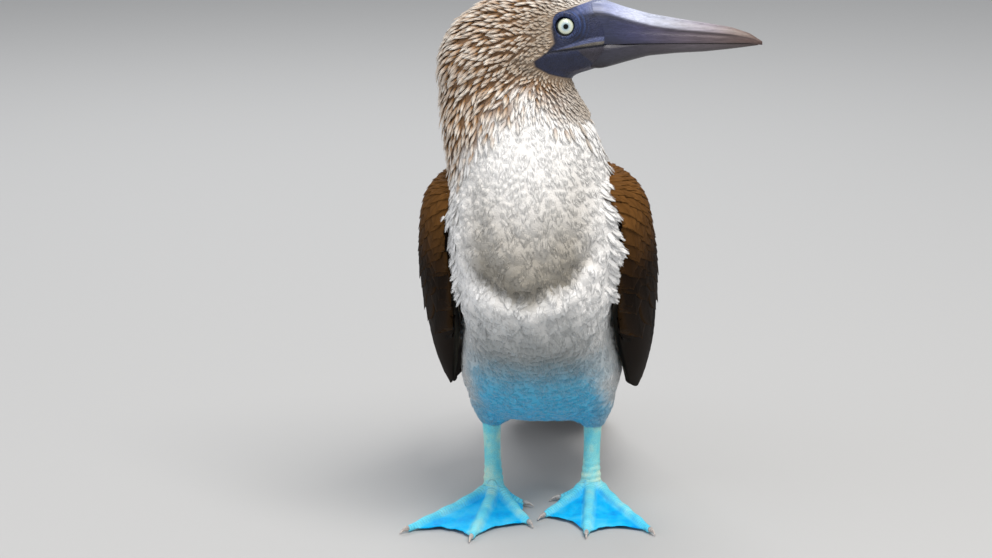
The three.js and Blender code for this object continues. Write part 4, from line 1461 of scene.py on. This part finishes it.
# growth lines run the length of the bill, 0.5 to 1 mm apart
stretched = addNode(billHorn, "Mapping", {"Scale": (0.05, 1.1, 1.1)}, {"Vector": billPlace.outputs["Vector"]})
growth = addNode(billHorn, "TexNoise", {"Scale": 1.0, "Detail": 5.0, "Roughness": 0.7}, {"Vector": stretched})
plumage = addNode(billHorn, "Attribute", {"attribute_name": "plumage"})
grown = mottle(billHorn, plumage, growth, (0.32, 0.68), (0.68, 1.22))
wire(billHorn, grown, surface, "Base Color")
rough = addNode(
    billHorn, "MapRange", {"From Min": 0.3, "From Max": 0.7, "To Min": 0.36, "To Max": 0.55},
    {"Value": growth},
)
wire(billHorn, rough, surface, "Roughness")
addRelief(billHorn, surface, growth, 0.5, 0.0005)

for name, upper in (("bill_upper", True), ("bill_lower", False)):
    mesh = bentMesh(f"{name}_horn", (billPoint(upper), 96, 110))
    local = fromHead(drawnPoints(mesh))
    share = (local[:, 0] - headPlan["billRoot"]) / (headPlan["billReach"] - headPlan["billRoot"])
    edge = mouthLine(share)
    height = (local[:, 2] - edge) / np.maximum(billValue("top", share) - edge, 0.5)
    setVectors(mesh, "billPlace", local)
    setColours(mesh, "plumage", hornMarkings(share, height, np.full(len(local), upper)))
    piece = addPiece(f"{name}_horn", mesh, billHorn)
    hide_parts(name)
print("bill done")

# Eyes: pale iris round a small black pupil under a wet cornea, held by a granular ring

eyePlan = {"ball": 8.15, "ring": 7.1, "ringHalf": 1.6}

# Cornea: wet and clear over the matt fibres of the iris
eyeWet, surface = newMaterial(
    "Eye cornea and iris", {"Roughness": 0.25, "IOR": 1.2, "Coat Weight": 0.45, "Coat Roughness": 0.02}
)
eyeSpot = addNode(eyeWet, "Attribute", {"attribute_name": "eyeSpot"})
parts = addNode(eyeWet, "SeparateXYZ", {}, {0: eyeSpot.outputs["Vector"]})
turned = addNode(eyeWet, "Mapping", {"Scale": (0.35, 2.2, 1)}, {"Vector": eyeSpot.outputs["Vector"]})
fibres = addNode(eyeWet, "TexNoise", {"Scale": 1.6, "Detail": 3.0}, {"Vector": turned})
spread = addNode(
    eyeWet, "MapRange", {"From Min": 0.0, "From Max": 8.2, "To Min": 0.0, "To Max": 1.0}, {"Value": parts}
)
eyeTone = colourRamp(
    eyeWet,
    [(0.0, "#020203"), (0.175, "#020203"), (0.205, "#8fa6b2"), (0.31, "#bfd0d3"), (0.43, "#d6ddcd"),
     (0.52, "#c6cfbb"), (0.56, "#6d7866"), (0.585, "#08090c"), (1.0, "#08090c")],
    spread,
)
wire(eyeWet, mottle(eyeWet, eyeTone, fibres, (0.3, 0.7), (0.8, 1.08)), surface, "Base Color")

# Eye ring skin: small beads of bare skin, a lighter blue than the face
ringSkin, surface = newMaterial("Eye ring skin", {"Roughness": 0.5, "IOR": 1.42, "Coat Weight": 0.1})
coords = addNode(ringSkin, "TexCoord")
beads = addNode(ringSkin, "TexVoronoi", {"Scale": 1100.0}, {"Vector": coords.outputs["Object"]})
beadTone = colourRamp(ringSkin, [(0.0, "#42527f"), (0.5, "#28345a"), (1.0, "#131930")], beads)
wire(ringSkin, beadTone, surface, "Base Color")
addRelief(ringSkin, surface, beads, 0.6, 0.0004, invert=True)

for name, side in (("eye_right", -1), ("eye_left", 1)):

    def ballPoint(u, v):
        angle, polar = u * 2 * math.pi, v * math.pi
        ring = eyePlan["ball"] * np.sin(polar)
        out = headPlan["eyeSpread"] + eyePlan["ball"] * np.cos(polar)
        return inHead(np.stack([ring * np.cos(angle), side * out, ring * np.sin(angle)], 1))

    def ringPoint(u, v):
        angle, turn = u * 2 * math.pi, v * 2 * math.pi
        beadWave = 1 + 0.03 * np.sin(angle * 26)
        ring = eyePlan["ring"] + eyePlan["ringHalf"] * np.cos(turn) * beadWave
        ring = ring + 0.5 * np.cos(angle - 2.6)
        out = headPlan["eyeSpread"] + 5.4 + 1.5 * np.sin(turn) * beadWave - 0.02 * (ring - 6) ** 2
        x, z = iris[0] + ring * np.cos(angle), iris[1] + ring * np.sin(angle)
        return inHead(np.stack([x, side * out, z], 1))

    mesh = bentMesh(f"{name}_ball", (ballPoint, 64, 48))
    local = fromHead(drawnPoints(mesh))
    outward = np.hypot(local[:, 0] - iris[0], local[:, 2] - iris[1])
    outward = np.where(local[:, 1] * side > headPlan["eyeSpread"], outward, 9.0)
    angle = np.arctan2(local[:, 2], local[:, 0])
    setVectors(mesh, "eyeSpot", np.stack([outward, angle * 3, 0 * angle], 1))
    ball = addPiece(f"{name}_ball", mesh, eyeWet)
    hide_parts(name)
    addPiece(f"{name}_ring", bentMesh(f"{name}_ring", (ringPoint, 96, 20)), ringSkin)
print("eyes done")

# Legs and feet

footPlan = {
    "left": {"x": 32, "y": 8, "turn": -1, "spread": 0.92, "mirror": (1, 1, 1)},
    "right": {"x": 30.5, "y": -6, "turn": 5, "spread": 1, "mirror": (-1, 1, 1)},
    "toes": {
        "hallux": {"angle": -70, "length": 16, "half": 2.6, "base": (-6, 3)},
        "inner": {"angle": -30, "length": 47, "half": 3.2, "base": (-6, -2)},
        "middle": {"angle": 1.5, "length": 75, "half": 3.7, "base": (0, -3)},
        "outer": {"angle": 30, "length": 77, "half": 3.5, "base": (6, -1)},
    },
    "heights": [9, 6.6, 5, 3.8, 2.6],
    "taper": [1.25, 1, 0.9, 0.78, 0.62],
    "ankle": 14,
    "claw": 6.5,
    "shankTop": (33, 10, 47),
    "voxel": 0.0008,
}
toeNames = ["hallux", "inner", "middle", "outer"]


def toeHeading(toe, foot):
    angle = math.radians(toe["angle"] * foot["spread"] + foot["turn"])
    return np.array([math.sin(angle), -math.cos(angle), 0])


def toePoint(toe, share, foot):
    base = np.array([foot["x"] + toe["base"][0], foot["y"] + toe["base"][1], 0])
    point = base + toeHeading(toe, foot) * (toe["length"] * share)[..., None]
    point[..., 2] = through(footPlan["heights"], share)
    return point


def toeSurface(toe, foot):
    def place(u, v):
        angle = u * 2 * math.pi
        heading = toeHeading(toe, foot)
        across = np.array([-heading[1], heading[0], 0])
        knuckle = 1 + 0.1 * np.cos(v * toe["length"] * 0.32)
        half = toe["half"] * through(footPlan["taper"], v) * knuckle
        half = half * np.where(v > 0.96, np.sqrt(np.clip((1 - v) / 0.04, 0, 1)) * 0.5 + 0.5, 1)
        up = np.where(np.sin(angle) > 0, 0.95, 1.15) * np.sin(angle) * half
        point = toePoint(toe, v, foot) + across * (np.cos(angle) * half)[:, None]
        point[:, 2] = np.maximum(point[:, 2] + up, 0.15)
        return point * foot["mirror"]

    return place


def webSurface(first, second, foot):
    def place(u, v):
        upper = u < 0.5
        across = np.where(upper, u * 2, 2 - u * 2)
        arch = np.sin(math.pi * across)
        reach = v * 0.97 * (1 - 0.16 * arch * v)
        a, b = toePoint(first, reach, foot), toePoint(second, reach, foot)
        point = a + (b - a) * across[:, None]
        ripple = 0.5 * np.sin(across * 17 + v * 3) * v * arch
        low = point[:, 2] - 1.6 * arch * (1 - v * 0.6) - 1.1 + ripple
        point[:, 2] = np.maximum(low, 0.25) + np.where(upper, 1.25, 0.0)
        return point * foot["mirror"]

    return place


def anklePoint(foot):
    rings = {"y": [2, 1, 0, -2, -2, -2], "z": [19, 14, 11, 7, 2, 0.2], "half": [5.9, 6.6, 8.4, 9.6, 7.6, 5.2],
             "deep": [6.6, 7.2, 8, 8.2, 6.6, 4.8]}

    def place(u, v):
        angle = u * 2 * math.pi
        x = foot["x"] + through(rings["half"], v) * np.cos(angle)
        y = foot["y"] + through(rings["y"], v) + through(rings["deep"], v) * np.sin(angle)
        return np.stack([x, y, through(rings["z"], v)], 1) * foot["mirror"]

    return place


def shankPoint(foot):
    halves, depths = [6.5, 5.6, 5.3, 5.6, 6.2], [7.1, 6.2, 6, 6.4, 7]

    def place(u, v):
        angle = u * 2 * math.pi
        top = footPlan["shankTop"]
        x, y = blend(foot["x"], top[0], v), blend(foot["y"] + 1, top[1], v)
        z = blend(footPlan["ankle"] + 0.1, top[2] + 8, v)
        wrinkle = 0.28 * np.sin(z * 1.5 + 0.8 * np.sin(angle * 2)) * smoothRise(v, 0.5, 0.05)
        half = through(halves, v) + wrinkle
        deep = through(depths, v) + wrinkle
        return np.stack([x + half * np.cos(angle), y + deep * np.sin(angle), z], 1) * foot["mirror"]

    return place


# Foot skin: supple scaly leather, strong sky blue on the webs and paler on the toes
footSkin, surface = newMaterial(
    "Scaled foot skin", {"Roughness": 0.5, "IOR": 1.36, "Specular IOR Level": 0.2}
)
footPlace = addNode(footSkin, "Attribute", {"attribute_name": "footPlace"})
parts = addNode(footSkin, "SeparateXYZ", {}, {0: footPlace.outputs["Vector"]})
coords = addNode(footSkin, "TexCoord")
cloud = addNode(
    footSkin, "TexNoise", {"Scale": 60.0, "Detail": 4.0, "Roughness": 0.6},
    {"Vector": coords.outputs["Object"]},
)
webTone = colourRamp(footSkin, [(0.3, "#009cf2"), (0.5, "#08bfff"), (0.72, "#50d2ff")], cloud)
toeTone = colourRamp(footSkin, [(0.3, "#48d2fd"), (0.52, "#74e3fb"), (0.72, "#aaf0f5")], cloud)
shankTone = colourRamp(footSkin, [(0.25, "#58daf0"), (0.48, "#98e8e8"), (0.66, "#dbf3dc")], cloud)
onToe = addNode(
    footSkin, "MapRange", {"From Min": 2.2, "From Max": 5.2, "To Min": 1.0, "To Max": 0.0},
    {"Value": parts.outputs[1]},
)
onShank = addNode(footSkin, "MapRange", {"From Min": 9.0, "From Max": 20.0}, {"Value": parts.outputs[2]})
footTone = addNode(footSkin, "Mix", {"data_type": "RGBA"}, {0: onToe, 6: webTone, 7: toeTone})
legTone = addNode(footSkin, "Mix", {"data_type": "RGBA"}, {0: onShank, 6: footTone.outputs[2], 7: shankTone})
# scutes cross the toes about every 2.2 mm; the webs carry a net of scales 1.3 mm wide
scutes = addNode(footSkin, "Math", {"operation": "MULTIPLY", 1: 2.85}, {0: parts})
scuteWave = addNode(footSkin, "Math", {"operation": "SINE"}, {0: scutes})
scuteLine = addNode(
    footSkin, "MapRange", {"From Min": -1.0, "From Max": -0.7, "To Min": 1.0, "To Max": 0.0},
    {"Value": scuteWave},
)
scuteMask = addNode(footSkin, "Math", {"operation": "MULTIPLY"}, {0: scuteLine, 1: onToe})
net = addNode(
    footSkin, "TexVoronoi", {"Scale": 760.0, "feature": "DISTANCE_TO_EDGE"},
    {"Vector": coords.outputs["Object"]},
)
netLine = addNode(
    footSkin, "MapRange", {"From Min": 0.0, "From Max": 0.12, "To Min": 1.0, "To Max": 0.0},
    {"Value": net.outputs["Distance"]},
)
seams = addNode(footSkin, "Math", {"operation": "MULTIPLY_ADD", 1: 0.5}, {0: netLine, 2: scuteMask})
wire(footSkin, mottle(footSkin, legTone.outputs[2], seams, (0.0, 1.0), (1.04, 0.74)), surface, "Base Color")
addRelief(footSkin, surface, seams, 0.45, 0.0004, invert=True)

# Claw horn: small blunt nails, pinkish grey
clawHorn, surface = newMaterial("Claw horn", {"Roughness": 0.38, "IOR": 1.54, "Coat Weight": 0.2})
coords = addNode(clawHorn, "TexCoord")
grain = addNode(clawHorn, "TexNoise", {"Scale": 900.0, "Detail": 3.0}, {"Vector": coords.outputs["Object"]})
wire(clawHorn, colourRamp(clawHorn, [(0.3, "#9b918f"), (0.7, "#d3cac2")], grain), surface, "Base Color")


def clawSurface(toe, foot):
    def place(u, v):
        angle = u * 2 * math.pi
        heading = toeHeading(toe, foot)
        across = np.array([-heading[1], heading[0], 0])
        radius = blend(1.9, 0.35, v**0.9)
        at = toePoint(toe, np.ones_like(v), foot) + heading * (0.3 + v * footPlan["claw"])[:, None]
        at = at - heading * (1.2 * (v < 0.02))[:, None]
        at[:, 2] += 0.3 + 0.9 * np.sin(math.pi * v * 0.9) - 1.9 * v + radius * np.sin(angle)
        at = at + across * (0.8 * radius * np.cos(angle))[:, None]
        at[:, 2] = np.maximum(at[:, 2], 0.1)
        return at * foot["mirror"]

    return place


for name in ("left", "right"):
    foot = footPlan[name]
    toes = footPlan["toes"]
    surfaces = [(anklePoint(foot), 40, 30)]
    surfaces += [(toeSurface(toes[toeName], foot), 24, 60) for toeName in toeNames]
    surfaces += [(webSurface(toes[a], toes[b], foot), 60, 50) for a, b in zip(toeNames, toeNames[1:])]
    mesh = settledMesh(
        bentMesh(f"foot_{name}_skin", *surfaces),
        [
            ("REMESH", {"mode": "VOXEL", "voxel_size": footPlan["voxel"]}),
            ("SMOOTH", {"iterations": 5, "factor": 0.5}),
        ],
    )
    mesh.name = f"foot_{name}_skin"
    points = drawnPoints(mesh)
    onSide = points * foot["mirror"]
    nearest = np.full(len(points), 1e9)
    alongToe = np.zeros(len(points))
    for toeName in toeNames:
        toe = toes[toeName]
        base = np.array([foot["x"] + toe["base"][0], foot["y"] + toe["base"][1], 0])
        heading = toeHeading(toe, foot)
        reach = np.clip((onSide - base) @ heading, 0, toe["length"])
        away = np.linalg.norm((onSide - base)[:, :2] - (heading * reach[:, None])[:, :2], axis=1)
        closer = away < nearest
        nearest[closer] = away[closer]
        alongToe[closer] = reach[closer]
    setVectors(mesh, "footPlace", np.stack([alongToe, nearest, onSide[:, 2]], 1))
    piece = addPiece(f"foot_{name}_skin", mesh, footSkin)
    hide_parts(f"foot_{name}")
    mesh = bentMesh(f"leg_{name}_skin", (shankPoint(foot), 48, 90))
    points = drawnPoints(mesh)
    setVectors(mesh, "footPlace", np.stack([points[:, 2], 8 + 0 * points[:, 2], points[:, 2] + 6], 1))
    piece = addPiece(f"leg_{name}_skin", mesh, footSkin)
    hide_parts(f"leg_{name}")
    for toeName in toeNames:
        label = f"claw_{name}_{toeName}"
        mesh = bentMesh(f"{label}_nail", (clawSurface(toes[toeName], foot), 16, 18))
        piece = addPiece(f"{label}_nail", mesh, clawHorn)
        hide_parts(label)
print("feet done")

# Floor and light

studio = {"floor": "#b9babb", "world": "#edeff2", "worldStrength": 0.55, "key": 62, "fill": 6, "rim": 14}

floorPaint, surface = newMaterial("Matt studio paper", {"Roughness": 0.9})
surface.inputs["Base Color"].default_value = shade(studio["floor"])
bm = bmesh.new()
bmesh.ops.create_grid(bm, x_segments=4, y_segments=4, size=20)
floorMesh = bpy.data.meshes.new("studio_floor")
bm.to_mesh(floorMesh)
bm.free()
floorMesh.materials.append(floorPaint)
floorMesh.polygons.foreach_set("use_smooth", np.ones(len(floorMesh.polygons), bool))
floor = bpy.data.objects.new("studio_floor", floorMesh)
bpy.context.scene.collection.objects.link(floor)
floor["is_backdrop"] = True


def addSoftbox(name, place, aim, size, power, code):
    data = bpy.data.lights.new(name, "AREA")
    data.shape = "RECTANGLE"
    data.size, data.size_y = size
    data.energy = power
    data.color = linear(code)
    light = bpy.data.objects.new(name, data)
    bpy.context.scene.collection.objects.link(light)
    light.location = place
    light.rotation_euler = (Vector(aim) - Vector(place)).to_track_quat("-Z", "Y").to_euler()


addSoftbox("key", (0.65, -1.3, 2.3), (0, 0, 0.2), (1.5, 1.2), studio["key"], "#fff9f1")
addSoftbox("fill", (-1.6, -1.0, 0.8), (0, 0, 0.18), (1.3, 1.3), studio["fill"], "#f2f6ff")
addSoftbox("rim", (-0.4, 1.5, 1.5), (0, 0, 0.2), (1.2, 0.8), studio["rim"], "#ffffff")
world = bpy.data.worlds.new("studio")
bpy.context.scene.world = world
world.use_nodes = True
world.node_tree.nodes["Background"].inputs[0].default_value = shade(studio["world"])
world.node_tree.nodes["Background"].inputs[1].default_value = studio["worldStrength"]
bpy.context.scene.view_settings.view_transform = "Standard"
print("studio done")


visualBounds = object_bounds()
plain = lambda box: [[float(c) for c in corner] for corner in box]
{"cad": plain(cadBounds), "visual": plain(visualBounds)}
